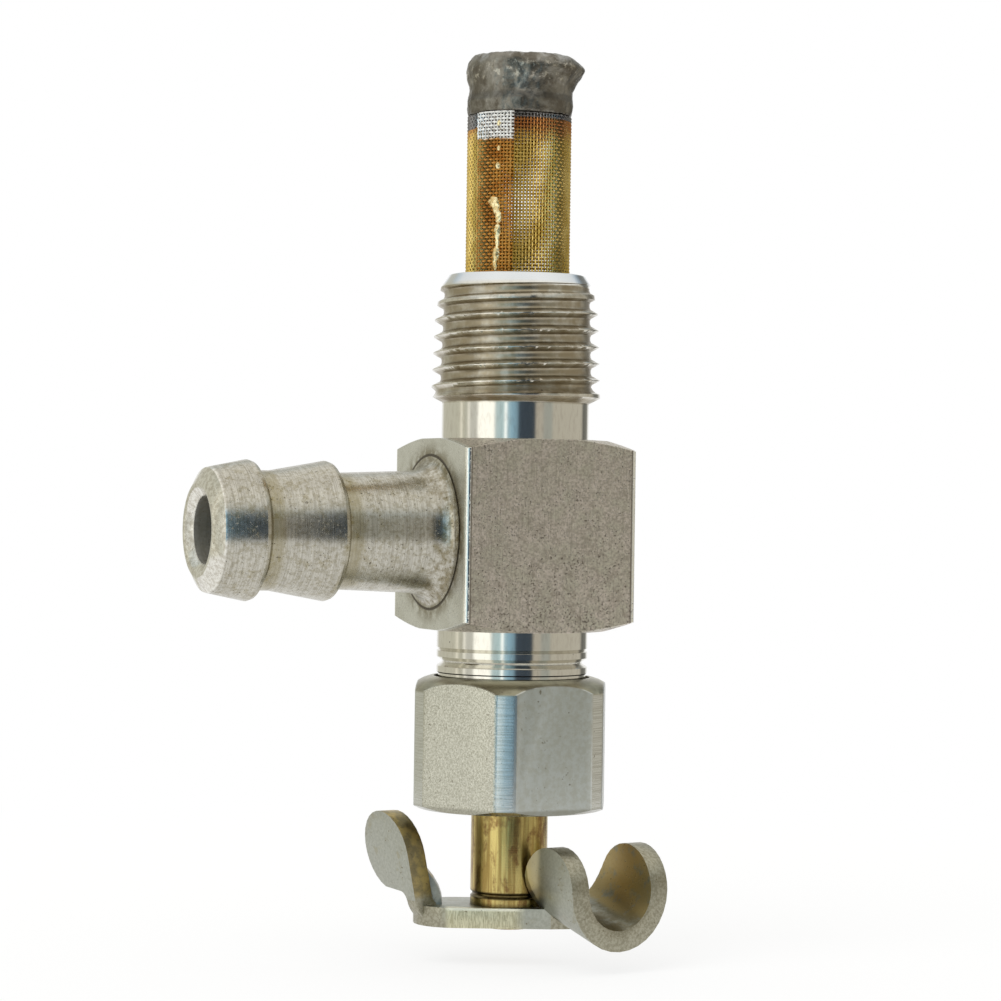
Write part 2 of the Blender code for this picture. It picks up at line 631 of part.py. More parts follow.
def looking_along_x():
    """Frame whose X is the handle's Y and whose Y is up."""
    return handle_frame() @ Matrix(((0, 0, 1, 0), (1, 0, 0, 0), (0, 1, 0, 0), (0, 0, 0, 1)))


def strip(cutters):
    """The flat strip: a round left end, straight sides, and a square end that laps the trough."""
    turn = Matrix.Rotation(STRIP_ANGLE, 2)
    end_x = -STRIP_END_REACH
    left_end = [turn @ Vector(p) for p in arc((end_x, 0), STRIP_HALF_WIDTH, 90, 270, 12)]
    floor_left = TROUGH_LEFT_X + SHEET
    floor_right = TROUGH_LEFT_X + TROUGH_WIDTH - 2 * SHEET
    front = turn @ Vector((STRIP_HALF_WIDTH, -STRIP_HALF_WIDTH))
    back = turn @ Vector((STRIP_HALF_WIDTH, STRIP_HALF_WIDTH))
    lap = TROUGH_BACK_Y - STRIP_LAP
    outline = [*left_end, front, (floor_left + SHEET, lap), (floor_right, lap), back]
    frame = handle_frame() @ Matrix.Translation((0, 0, HANDLE_MIDDLE_Z))
    return extruded("strip", outline, SHEET, frame, cutters)


def ear_sheet(cutters):
    """The sheet of the left ear, bent up from the strip until it leans outwards a little."""
    outer, inner = EAR_BEND_RADIUS, EAR_BEND_RADIUS - SHEET
    lean = math.degrees(EAR_LEAN)
    up = Vector((-math.sin(EAR_LEAN), math.cos(EAR_LEAN)))
    through = Vector((math.cos(EAR_LEAN), math.sin(EAR_LEAN)))
    # The bend's centre lies where the leaning face passes the ear's middle height
    rise = HANDLE_TOP_Z + EAR_CENTRE_RISE - (HANDLE_BOTTOM_Z + outer)
    bend_x = EAR_OUTER_X + (outer + rise * math.sin(EAR_LEAN)) / math.cos(EAR_LEAN)
    bend = (bend_x, HANDLE_BOTTOM_Z + outer)
    top_outer = Vector(bend) - through * outer + up * 3 * EAR_RADIUS
    top_inner = top_outer + through * SHEET
    root_x = bend_x + SHEET
    outline = [
        (root_x, HANDLE_BOTTOM_Z), *arc(bend, outer, 270, 180 + lean, 8), tuple(top_outer),
        tuple(top_inner), *arc(bend, inner, 180 + lean, 270, 6), (root_x, HANDLE_TOP_Z),
    ]
    return extruded("ear_sheet", outline, 8 * EAR_RADIUS, looking_along_y(), cutters)


def ear_root(cutters):
    """The strip's end where it rises and twists into the ear's neck, wide below and narrow above."""
    outer = EAR_BEND_RADIUS
    bend = (outer - EAR_ROOT_REACH, HANDLE_BOTTOM_Z + outer)
    inner_side = [
        (EAR_ROOT_TOP_WIDTH + EAR_ROOT_SPREAD * (1 - (1 - share) ** 2) - EAR_ROOT_REACH,
         HANDLE_TOP_Z + EAR_ROOT_RISE * (1 - share))
        for share in (0, 0.25, 0.5, 0.75, 1)
    ]
    outline = [
        (inner_side[-1][0], HANDLE_BOTTOM_Z), *arc(bend, outer, 270, 180, 6),
        (-EAR_ROOT_REACH, HANDLE_TOP_Z + EAR_ROOT_RISE), *inner_side,
    ]
    along_strip = handle_frame() @ Matrix.Rotation(STRIP_ANGLE, 4, "Z")
    frame = (along_strip @ Matrix.Translation((0, EAR_ROOT_DEPTH / 2 - EAR_ROOT_FRONT, 0))
             @ Matrix.Rotation(math.pi / 2, 4, "X"))
    return extruded("ear_root", outline, EAR_ROOT_DEPTH, frame, cutters)


def ear_outline(cutters):
    """The left ear's side view: a disc on a narrow neck at its front side."""
    centre = (EAR_CENTRE_Y, HANDLE_TOP_Z + EAR_CENTRE_RISE)
    front = EAR_CENTRE_Y - EAR_RADIUS
    neck_back = front + EAR_NECK_WIDTH
    bottom = HANDLE_BOTTOM_Z - SHEET
    fillet = EAR_NECK_FILLET
    fillet_centre = (neck_back + fillet, centre[1] - EAR_RADIUS - fillet * 0.9)
    outline = [
        (front, bottom), *arc(centre, EAR_RADIUS, 180, -70, 20),
        *arc(fillet_centre, fillet, 100, 180, 4), (neck_back, bottom),
    ]
    return extruded("ear_outline", outline, 10 * EAR_RADIUS, looking_along_x(), cutters)


def trough_sheet(cutters):
    """The U-shaped trough, which slopes down towards its open front end."""
    outer, inner = TROUGH_WIDTH / 2, TROUGH_WIDTH / 2 - SHEET
    middle = (TROUGH_LEFT_X + outer, outer)
    top = 3 * outer
    outline = [
        (middle[0] - outer, top), *arc(middle, outer, 180, 360, 16), (middle[0] + outer, top),
        (middle[0] + inner, top), *arc(middle, inner, 360, 180, 16), (middle[0] - inner, top),
    ]
    hinge = Matrix.Translation((0, TROUGH_BACK_Y, HANDLE_BOTTOM_Z))
    tilt = Matrix.Rotation(TROUGH_SLOPE, 4, "X") @ Matrix.Rotation(math.pi / 2, 4, "X")
    return extruded("trough_sheet", outline, 30 * MM, handle_frame() @ hinge @ tilt, cutters)


def trough_outline(cutters):
    """The trough's side view: round-topped ears, drawn in at the back towards the floor."""
    top = HANDLE_TOP_Z + TROUGH_EAR_RISE
    centre = (TROUGH_FRONT_Y + TROUGH_EAR_RADIUS, top - TROUGH_EAR_RADIUS)
    bottom = HANDLE_BOTTOM_Z - 2 * SHEET
    outline = [
        (TROUGH_FRONT_Y, bottom), *arc(centre, TROUGH_EAR_RADIUS, 180, -30, 18),
        (TROUGH_BACK_Y, HANDLE_BOTTOM_Z), (TROUGH_BACK_Y, bottom),
    ]
    return extruded("trough_outline", outline, 30 * MM, looking_along_x(), cutters)


def wing_handle(parts, cutters, surface):
    """The pressed sheet handle: a strip with the left ear bent up, and a trough with two ears."""
    ear = ear_sheet(cutters)
    boolean(ear, "INTERSECT", ear_outline(cutters))
    trough = trough_sheet(cutters)
    boolean(trough, "INTERSECT", trough_outline(cutters))
    handle = strip(cutters)
    boolean(handle, "UNION", ear_root(cutters))
    boolean(handle, "UNION", ear)
    boolean(handle, "UNION", trough)
    hole = turned("tenon_hole", rod_profile(TENON_RADIUS + FIXED_GAP, HANDLE_TOP_Z + SHEET,
                                            HANDLE_BOTTOM_Z - SHEET), cutters)
    boolean(handle, "DIFFERENCE", hole)
    handle.name = "wing_handle"
    handle.hide_render = False
    handle.display_type = "TEXTURED"
    place(handle, parts, surface)


def main():
    clear_scene()
    parts = new_collection("fuel_tap")
    cutters = new_collection("cutters", helper=True)
    nickel = material("nickel", (0.46, 0.45, 0.42), 1, 0.35)
    stained_nickel = material("stained_nickel", (0.36, 0.34, 0.29), 1, 0.45)
    brass = material("brass", (0.55, 0.42, 0.16), 1, 0.3)
    gauze_brass = material("gauze_brass", (0.6, 0.42, 0.14), 1, 0.4)
    solder = material("solder", (0.22, 0.22, 0.23), 1, 0.4)
    fibre = material("fibre", (0.12, 0.11, 0.1), 0, 0.9)
    valve_body(parts, cutters, nickel)
    hose_tail(parts, stained_nickel)
    strainer_gauze(parts, cutters, gauze_brass)
    strainer_cap(parts, cutters, solder)
    gland_nut(parts, cutters, nickel)
    gland_packing(parts, brass, fibre)
    valve_cone(parts, brass)
    spindle(parts, brass)
    wing_handle(parts, cutters, stained_nickel)


main()
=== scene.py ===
"""Looks of the fuel tap: plated body, hose tail and nut, brass spindle, gauze strainer, pressed handle.

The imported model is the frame. Its axes are +Z along the strainer and -X along the hose tail. Blender's
lengths are in metres; sizes and patterns are written in millimetres.
"""

import json
import math

import bpy
from mathutils import Matrix, Vector

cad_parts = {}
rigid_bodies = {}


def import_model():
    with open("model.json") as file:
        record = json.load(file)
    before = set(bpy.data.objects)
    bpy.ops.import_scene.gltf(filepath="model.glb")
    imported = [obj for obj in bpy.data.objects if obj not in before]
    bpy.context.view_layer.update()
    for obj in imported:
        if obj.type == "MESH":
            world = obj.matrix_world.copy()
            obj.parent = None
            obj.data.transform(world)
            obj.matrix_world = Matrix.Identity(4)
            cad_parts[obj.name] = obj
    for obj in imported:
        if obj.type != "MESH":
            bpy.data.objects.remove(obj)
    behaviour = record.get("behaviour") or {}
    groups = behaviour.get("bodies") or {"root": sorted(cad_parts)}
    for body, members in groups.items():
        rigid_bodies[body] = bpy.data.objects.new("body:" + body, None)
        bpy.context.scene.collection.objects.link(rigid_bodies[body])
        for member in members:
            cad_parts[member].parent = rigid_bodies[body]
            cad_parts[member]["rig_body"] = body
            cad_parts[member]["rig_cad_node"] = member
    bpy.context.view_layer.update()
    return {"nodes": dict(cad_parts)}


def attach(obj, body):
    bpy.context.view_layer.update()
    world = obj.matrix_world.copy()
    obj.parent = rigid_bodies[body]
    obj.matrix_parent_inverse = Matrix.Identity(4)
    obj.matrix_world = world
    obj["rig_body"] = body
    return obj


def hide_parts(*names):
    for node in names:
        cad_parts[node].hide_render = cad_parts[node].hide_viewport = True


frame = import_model()

MM = 0.001
TURN = 2 * math.pi

# Sizes of the visible shapes, in millimetres, heights from the inlet stem's end face
PITCH = 1.3368
TAPER = 32
THREAD_END = -10.3
CREST_RADIUS = 6.84
STEM_RADIUS = 5.95
STEM_BORE = 3.25
BLOCK_TOP = -13.3
BLOCK_BOTTOM = -28.6
BLOCK_WIDTH = 14.8
NECK_RADIUS = 6.1
NUT_TOP = -32.4
NUT_BOTTOM = -43.0
NUT_RADIUS = 8.25
NUT_FLATS = 15.1
NUT_TURN = 2.8
OUTLET_HEIGHT = -20.8
SHEET = 1.6
TROUGH_SIDE = 9.4
TROUGH_OUT = 3.84
TROUGH_HEIGHT = -49.1
STRIP_SIDE = -123.4
GAUZE_RADIUS = 4.23
GAUZE_TOP = 12.8
GAUZE_BOTTOM = -2.9
WEAVE = 0.27
WIRES_ROUND = 96
LAP_SIDE = -142
LAP_HALF_ANGLE = 22.5

# The floor lies below the handle at its lowest, where the spindle is screwed right out
FLOOR = -55.5
TABLE_RADIUS = 130

# Where the photograph was taken from: bearing and lean in degrees, the rest in metres and pixels
CAMERA_SIDE = -24
CAMERA_LEAN = 0.83
CAMERA_DISTANCE = 0.243
CAMERA_SHIFT = 0.0011
CAMERA_HEIGHT = -0.0182
FOCAL_PIXELS = 3000
PHOTO_PIXELS = 1001
LEFT_SIDE = CAMERA_SIDE - 180

# The studio's walls by bearing from the camera in degrees, and its ceiling by the sine of the height angle
WALLS = [
    (-180, (0.62, 0.61, 0.53)), (-98, (0.66, 0.65, 0.56)), (-93, (1.1, 1.07, 0.95)),
    (-89, (0.66, 0.65, 0.56)), (-82, (0.6, 0.6, 0.53)), (-78, (1.2, 1.18, 1.1)),
    (-74, (0.7, 0.7, 0.66)), (-63, (0.7, 0.7, 0.66)), (-59, (1.5, 1.5, 1.45)),
    (-34, (1.5, 1.5, 1.45)), (-30, (0.6, 0.75, 0.8)), (-18, (0.55, 0.75, 0.82)),
    (-16, (1.45, 1.55, 1.6)), (-14, (1.45, 1.55, 1.6)), (-12, (0.5, 0.72, 0.85)),
    (-5, (0.33, 0.55, 0.72)), (3, (0.25, 0.4, 0.52)), (6, (0.06, 0.08, 0.11)),
    (30, (0.055, 0.075, 0.1)), (33, (0.56, 0.52, 0.45)), (43, (0.54, 0.51, 0.45)),
    (46, (0.44, 0.45, 0.42)), (58, (0.44, 0.46, 0.43)), (62, (0.58, 0.55, 0.48)),
    (126, (0.6, 0.57, 0.5)), (134, (0.16, 0.16, 0.15)), (160, (0.3, 0.3, 0.27)),
    (178, (0.62, 0.61, 0.53)),
]
CEILING = [
    (0.3, (0.45, 0.5, 0.55)), (0.5, (0.62, 0.75, 0.85)), (0.62, (0.95, 0.95, 0.92)),
    (0.9, (1.15, 1.13, 1.08)), (1.0, (1.0, 0.98, 0.94)),
]


# ---------- hand tools ----------

def put_down():
    """Leaves edit mode with nothing selected."""
    if bpy.context.object and bpy.context.object.mode != "OBJECT":
        bpy.ops.object.mode_set(mode="OBJECT")
    bpy.ops.object.select_all(action="DESELECT")


def pick_up(piece):
    put_down()
    piece.select_set(True)
    bpy.context.view_layer.objects.active = piece


def edit(piece, everything=True):
    pick_up(piece)
    bpy.ops.object.mode_set(mode="EDIT")
    bpy.ops.mesh.select_all(action="SELECT" if everything else "DESELECT")


def select_edges(piece, wanted):
    """Selects, in edit mode, the edges that a test on their two ends accepts."""
    edit(piece, False)
    bpy.ops.mesh.select_mode(type="EDGE")
    bpy.ops.object.mode_set(mode="OBJECT")
    points = piece.data.vertices
    for e in piece.data.edges:
        e.select = wanted(points[e.vertices[0]].co, points[e.vertices[1]].co)
    bpy.ops.object.mode_set(mode="EDIT")


def settle(piece):
    """Puts an object's place, turn and size into its mesh."""
    pick_up(piece)
    bpy.ops.object.transform_apply(location=True, rotation=True, scale=True)


def turn_profile(name, profile, steps=144):
    """Draws (radius, height) points in millimetres as one line and spins it round the upright axis."""
    put_down()
    bpy.ops.mesh.primitive_plane_add(size=MM)
    piece = bpy.context.object
    piece.name = piece.data.name = name
    edit(piece)
    bpy.ops.mesh.select_mode(type="VERT")
    bpy.ops.mesh.merge(type="CENTER")
    bpy.ops.transform.translate(value=(profile[0][0] * MM, 0, profile[0][1] * MM))
    for (r0, z0), (r1, z1) in zip(profile, profile[1:]):
        bpy.ops.mesh.extrude_region_move(
            TRANSFORM_OT_translate={"value": ((r1 - r0) * MM, 0, (z1 - z0) * MM)})
    bpy.ops.mesh.select_all(action="SELECT")
    bpy.ops.mesh.spin(steps=steps, angle=TURN, center=(0, 0, 0), axis=(0, 0, 1))
    bpy.ops.mesh.select_all(action="SELECT")
    bpy.ops.mesh.remove_doubles(threshold=2e-6)
    bpy.ops.mesh.normals_make_consistent(inside=False)
    put_down()
    return piece


def modify(piece, kind, **settings):
    """Adds a modifier with its settings and applies it."""
    modifier = piece.modifiers.new(kind.title(), kind)
    for name, value in settings.items():
        setattr(modifier, name, value)
    pick_up(piece)
    bpy.ops.object.modifier_apply(modifier=modifier.name)


def cut(piece, operation, tool):
    """Boolean with a tool that is thrown away afterwards."""
    modify(piece, "BOOLEAN", operation=operation, object=tool, solver="EXACT")
    bpy.data.objects.remove(tool)


def soften(piece, width, angle=32, segments=2):
    """Rounds every sharp edge a little and smooths the rest."""
    modify(piece, "BEVEL", width=width * MM, segments=segments, limit_method="ANGLE",
           angle_limit=math.radians(angle), harden_normals=False, miter_outer="MITER_ARC")
    smooth(piece, angle)


def smooth(piece, angle=32):
    pick_up(piece)
    bpy.ops.object.shade_smooth_by_angle(angle=math.radians(angle))


def joined(name, pieces):
    put_down()
    for piece in pieces:
        piece.select_set(True)
    bpy.context.view_layer.objects.active = pieces[0]
    bpy.ops.object.join()
    made = bpy.context.object
    made.name = made.data.name = name
    return made


def copy_of_node(node, name):
    """A merged copy of a CAD node's mesh."""
    piece = frame["nodes"][node].copy()
    piece.data = piece.data.copy()
    piece.name = piece.data.name = name
    piece.parent = None
    piece.data.materials.clear()
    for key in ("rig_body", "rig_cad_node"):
        if key in piece:
            del piece[key]
    bpy.context.scene.collection.objects.link(piece)
    edit(piece)
    bpy.ops.mesh.remove_doubles(threshold=2e-6)
    bpy.ops.mesh.tris_convert_to_quads(face_threshold=0.02, shape_threshold=3.1)
    bpy.ops.mesh.dissolve_limited(angle_limit=math.radians(1))
    put_down()
    return piece


# ---------- shader tools ----------

class Wire:
    """One output of a shader node. Python's operators on it add Math nodes."""

    def __init__(self, tree, socket):
        self.tree, self.socket = tree, socket

    def node(self, kind, settings=None, sockets=None, out=0):
        """Adds a node: its settings first, then the values or links of its sockets."""
        made = self.tree.nodes.new(kind)
        for name, value in (settings or {}).items():
            if name == "stops":
                ramp = made.color_ramp
                while len(ramp.elements) > 1:
                    ramp.elements.remove(ramp.elements[-1])
                for i, (place, colour) in enumerate(value):
                    stop = ramp.elements[0] if i == 0 else ramp.elements.new(place)
                    stop.position = place
                    stop.color = (*colour, 1)
            else:
                setattr(made, name, value)
        for name, value in (sockets or {}).items():
            if isinstance(value, Wire):
                self.tree.links.new(value.socket, made.inputs[name])
            else:
                made.inputs[name].default_value = value
        return Wire(self.tree, made.outputs[out])

    def math(self, operation, *values, clamp=False):
        sockets = dict(enumerate(values))
        return self.node("ShaderNodeMath", {"operation": operation, "use_clamp": clamp}, sockets)

    def __add__(self, other): return self.math("ADD", self, other)
    def __radd__(self, other): return self.math("ADD", other, self)
    def __sub__(self, other): return self.math("SUBTRACT", self, other)
    def __rsub__(self, other): return self.math("SUBTRACT", other, self)
    def __mul__(self, other): return self.math("MULTIPLY", self, other)
    def __rmul__(self, other): return self.math("MULTIPLY", other, self)
    def __truediv__(self, other): return self.math("DIVIDE", self, other)
    def __rtruediv__(self, other): return self.math("DIVIDE", other, self)
    def __neg__(self): return self.math("MULTIPLY", self, -1.0)

    def size(self):
        return self.math("ABSOLUTE", self)

    def root(self):
        return self.math("SQRT", self)

    def larger(self, other):
        return self.math("MAXIMUM", self, other)

    def between(self, low, high, smooth=True):
        """0 below low, 1 above high; with low above high it falls instead."""
        kind = "SMOOTHSTEP" if smooth else "LINEAR"
        return self.node("ShaderNodeMapRange", {"interpolation_type": kind}, {
            "Value": self, "From Min": low, "From Max": high, "To Min": 0.0, "To Max": 1.0})

    def band(self, centre, half, edge):
        """1 within half of a centre, falling to 0 over the edge."""
        return (self - centre).size().between(half + edge, half)


def tint(mask, below, above):
    """A colour that goes from below to above as the mask rises."""
    def colour(c):
        return c if isinstance(c, Wire) else (*c, 1)
    return mask.node("ShaderNodeMix", {"data_type": "RGBA", "clamp_factor": True},
                     {0: mask, 6: colour(below), 7: colour(above)}, out=2)


class Finish:
    """A material under way: places on the piece in millimetres, and its patterns."""

    def __init__(self, name, roughness=0.3, metallic=1.0):
        self.material = bpy.data.materials.new(name)
        self.material.use_nodes = True
        tree = self.material.node_tree
        self.shader = tree.nodes["Principled BSDF"]
        self.shader.inputs["Roughness"].default_value = roughness
        self.shader.inputs["Metallic"].default_value = metallic
        self.tree = tree
        start = Wire(tree, None)
        self.spot = start.node("ShaderNodeTexCoord", out="Object")
        self.spot = start.node("ShaderNodeVectorMath", {"operation": "SCALE"},
                               {0: self.spot, "Scale": 1000.0})
        axes = [start.node("ShaderNodeSeparateXYZ", sockets={0: self.spot}, out=i) for i in range(3)]
        self.x, self.y, self.z = axes

    def facing(self, side):
        """How far a place lies out from the upright axis towards a side, in degrees from +X."""
        return self.x * math.cos(math.radians(side)) + self.y * math.sin(math.radians(side))

    def stretched(self, x=1.0, y=1.0, z=1.0, shift=0.0):
        """The place with each axis scaled, to draw a pattern out along one of them."""
        return self.spot.node("ShaderNodeMapping", {"vector_type": "POINT"}, {
            "Vector": self.spot, "Location": (shift, shift, shift), "Scale": (x, y, z)})

    def noise(self, size, detail=3.0, rough=0.55, where=None, shift=0.0):
        """Cloudy pattern whose lumps are about size millimetres, from 0 to 1."""
        where = where or self.stretched(shift=shift)
        return self.spot.node("ShaderNodeTexNoise", {"noise_dimensions": "3D"}, {
            "Vector": where, "Scale": 1 / size, "Detail": detail, "Roughness": rough})

    def specks(self, size, share, shift=0.0, edge=0.06):
        """Round specks on a grid about size millimetres wide, which cover roughly that share."""
        cells = {"Vector": self.stretched(shift=shift), "Scale": 1 / size, "Randomness": 1.0}
        near = self.spot.node("ShaderNodeTexVoronoi", {"feature": "F1"}, cells, out="Distance")
        chance = self.spot.node("ShaderNodeTexVoronoi", {"feature": "F1"}, cells, out="Color")
        chance = self.spot.node("ShaderNodeSeparateColor", sockets={0: chance}, out=0)
        reach = (chance - (1 - share)) * 0.9
        return (reach - near).between(0.0, edge)

    def done(self, colour, bumps=(), roughness=None, metallic=None):
        """Wires up the colour, the roughness and a chain of (height, depth in mm) bumps."""
        links = self.tree.links
        links.new(colour.socket, self.shader.inputs["Base Color"])
        if roughness is not None:
            links.new(roughness.socket, self.shader.inputs["Roughness"])
        if metallic is not None:
            links.new(metallic.socket, self.shader.inputs["Metallic"])
        normal = None
        for height, depth in bumps:
            sockets = {"Height": height, "Strength": 1.0, "Distance": depth * MM}
            if normal:
                sockets["Normal"] = normal
            normal = self.spot.node("ShaderNodeBump", sockets=sockets)
        if normal:
            links.new(normal.socket, self.shader.inputs["Normal"])
        return self.material


def dress(piece, surface):
    piece.data.materials.clear()
    piece.data.materials.append(surface)
    return piece


# ---------- camera, studio and floor ----------

def camera():
    """The photograph's place: level with the block, a little to the left of its front."""
    side = math.radians(CAMERA_SIDE)
    back = Vector((math.sin(side), -math.cos(side), 0))
    right = Vector((math.cos(side), math.sin(side), 0))
    data = bpy.data.cameras.new("photo_camera")
    data.sensor_width = 36
    data.lens = FOCAL_PIXELS * data.sensor_width / PHOTO_PIXELS
    data.clip_start, data.clip_end = 0.01, 20
    photo = bpy.data.objects.new("photo_camera", data)
    bpy.context.scene.collection.objects.link(photo)
    lean = Matrix.Rotation(math.radians(CAMERA_LEAN), 4, "Z")
    aim = (-back).to_track_quat("-Z", "Y").to_matrix().to_4x4()
    place = back * CAMERA_DISTANCE - right * CAMERA_SHIFT + Vector((0, 0, CAMERA_HEIGHT))
    photo.matrix_world = Matrix.Translation(place) @ aim @ lean
    bpy.context.scene.camera = photo


def rays(start, kind):
    return start.node("ShaderNodeLightPath", out=f"Is {kind} Ray")


def studio():
    """A pale studio that polished metal mirrors: a window on the left, a dark gap beside the camera."""
    world = bpy.data.worlds.new("studio")
    bpy.context.scene.world = world
    world.use_nodes = True
    tree = world.node_tree
    start = Wire(tree, None)
    way = start.node("ShaderNodeTexCoord", out="Generated")
    side = math.radians(CAMERA_SIDE)
    towards = start.node("ShaderNodeVectorMath", {"operation": "DOT_PRODUCT"},
                         {0: way, 1: (math.sin(side), -math.cos(side), 0)}, out="Value")
    across = start.node("ShaderNodeVectorMath", {"operation": "DOT_PRODUCT"},
                        {0: way, 1: (math.cos(side), math.sin(side), 0)}, out="Value")
    up = start.node("ShaderNodeSeparateXYZ", sockets={0: way}, out=2)
    bearing = start.math("ARCTAN2", across, towards) / TURN + 0.5
    stops = [((angle + 180) / 360, colour) for angle, colour in WALLS]
    walls = start.node("ShaderNodeValToRGB", {"stops": stops}, {"Fac": bearing})
    ceiling = start.node("ShaderNodeValToRGB", {"stops": CEILING}, {"Fac": up})
    seen = tint(up.between(0.42, 0.62), walls, ceiling)
    backdrop = (-towards).between(0.86, 0.96)
    white = rays(start, "Camera") + rays(start, "Transmission") + rays(start, "Glossy") * backdrop
    seen = tint(white, seen, (1.0, 1.0, 1.0))
    light = start.node("ShaderNodeBackground", sockets={"Color": seen, "Strength": 1.0})
    tree.links.new(light.socket, tree.nodes["World Output"].inputs["Surface"])


def window_light():
    """Soft daylight from the upper left, which only paper and cord take up; metal mirrors the studio."""
    lamp = bpy.data.lights.new("window_light", "SUN")
    lamp.energy, lamp.angle = 1.1, math.radians(40)
    stand = bpy.data.objects.new("window_light", lamp)
    stand.rotation_euler = (math.radians(38), 0, math.radians(CAMERA_SIDE - 40))
    stand.visible_glossy = False
    bpy.context.scene.collection.objects.link(stand)


def floor():
    """A round pale table top; past its rim the metal mirrors the studio's walls down to the ground."""
    put_down()
    bpy.ops.mesh.primitive_circle_add(vertices=128, radius=TABLE_RADIUS * MM, fill_type="NGON",
                                      location=(0, 0, FLOOR * MM))
    ground = bpy.context.object
    ground.name = "floor"
    paper = Finish("floor_paper", roughness=0.8, metallic=0.0)
    tree = paper.tree
    start = Wire(tree, None)
    paper.done(start.node("ShaderNodeRGB"))
    tree.nodes["RGB"].outputs[0].default_value = (0.88, 0.88, 0.875, 1)
    rim = (paper.x * paper.x + paper.y * paper.y).root().between(TABLE_RADIUS - 45, TABLE_RADIUS - 5)
    white = (rays(start, "Camera") + rays(start, "Glossy") + rays(start, "Transmission")) * (0.8 + rim * 0.2)
    paper_white = start.node("ShaderNodeEmission", sockets={"Color": (1, 1, 1, 1), "Strength": 1.0})
    seen = start.node("ShaderNodeMixShader",
                      sockets={0: white, 1: Wire(tree, paper.shader.outputs[0]), 2: paper_white})
    tree.links.new(seen.socket, tree.nodes["Material Output"].inputs["Surface"])
    dress(ground, paper.material)


# ---------- finishes ----------

def body_nickel():
    """Worn nickel: milled faces full of fine pits, a smoother left face, olive dirt round the tail."""
    f = Finish("body_nickel", roughness=0.34)
    left = f.x.between(-6.95, -7.2)
    corner = (f.x.size() + f.y.size()).between(14.36, 14.5)
    low = f.z.between(-15.0, -28.0)
    grain = f.noise(0.17, 4.0, 0.7)
    patches = f.noise(1.8, 5.0, 0.65)
    spots = f.noise(0.2, 3.0, 0.62, shift=7.0)
    crowd = f.noise(1.6, 4.0, 0.65, shift=3.0) * 0.3 + low * 0.03
    pits = (spots + crowd).between(0.715, 0.83) * (1 - left * 0.75)
    clouds = f.noise(0.8, 5.0, 0.7, shift=11.0).between(0.5, 0.68)
    mill = f.noise(0.18, 2.0, where=f.stretched(1, 1, 0.03, shift=2.0)).between(0.58, 0.68)
    clean = tint(patches.between(0.4, 0.62), (0.75, 0.665, 0.585), (0.66, 0.62, 0.51))
    dull = tint(grain.between(0.36, 0.66), clean, (0.43, 0.385, 0.32))
    dull = tint(clouds * (0.3 + low * 0.25), dull, (0.31, 0.265, 0.21))
    dull = tint(mill * 0.4, dull, (0.27, 0.24, 0.19))
    smooth_side = tint(patches.between(0.35, 0.7), (0.68, 0.68, 0.635), (0.585, 0.58, 0.525))
    colour = tint(left, dull, smooth_side)
    down, over = f.z - OUTLET_HEIGHT, f.y
    ring = (down * down + over * over).root()
    smudge = ring.between(7.6, 6.1) * left * f.noise(0.9, 4.0, 0.65, shift=5.0).between(0.32, 0.56)
    colour = tint(smudge * 0.85, colour, (0.19, 0.155, 0.08))
    colour = tint(ring.band(6.15, 0.06, 0.12) * left, colour, (0.06, 0.045, 0.025))
    edge = f.x.size().band(6.97, 0.03, 0.07) * f.y.size().between(7.3, 7.38)
    colour = tint(edge * 0.75, colour, (0.13, 0.1, 0.075))
    colour = tint(pits * 0.85, colour, (0.13, 0.105, 0.075))
    colour = tint(corner * (1 - pits * 0.5), colour, (0.88, 0.87, 0.8))
    return f.done(colour, [(1 - pits, 0.02), (grain * (1 - left * 0.6), 0.012)],
                  roughness=0.3 + pits * 0.3 + grain * 0.12 - left * 0.08 - corner * 0.2)


def stem_nickel():
    """Bright turned nickel: darker brown towards the roots of the thread's grooves, clouds of brown grime on
    the thread, a painted blue-white reflection on the end chamfer, and a few black pits.
    """
    f = Finish("stem_nickel", roughness=0.16)
    low = (f.x * f.x + f.y * f.y).root()
    in_thread = f.z.between(-10.5, -10.2) * f.z.between(-0.95, -1.05)
    deep = (crest(f.z) - low).between(0.05, 0.45) * in_thread
    lathe = f.noise(0.07, 1.0, where=f.stretched(0.02, 0.02, 1))
    streaks = f.noise(0.3, 3.0, where=f.stretched(1, 1, 0.3))
    grime_and_shade = f.noise(1.5, 4.0, 0.6).between(0.35, 0.6)
    clean = tint(streaks.between(0.45, 0.7), (0.7, 0.68, 0.61), (0.63, 0.605, 0.54))
    # Darker brown towards the roots of the thread's grooves, more so under the grime clouds.
    tone_and_sheen = tint(deep * (0.5 + grime_and_shade * 0.35), clean, (0.27, 0.22, 0.13))
    tone_and_sheen = tint(grime_and_shade * in_thread * 0.4, tone_and_sheen, (0.34, 0.28, 0.19))
    # Blue-white on the end chamfer and end face: a painted reflection.
    tone_and_sheen = tint(f.z.between(-1.0, -0.6), tone_and_sheen, (0.68, 0.71, 0.74))
    pits = f.specks(0.9, 0.14, shift=1.5) + f.specks(0.35, 0.06) * f.facing(-90).between(2.0, 4.0)
    colour = tint(pits, tone_and_sheen, (0.07, 0.055, 0.04))
    return f.done(colour, [(lathe, 0.0018), (1 - pits, 0.012)],
                  roughness=0.09 + streaks * 0.05 + deep * 0.16 + in_thread * 0.05 + pits * 0.3)


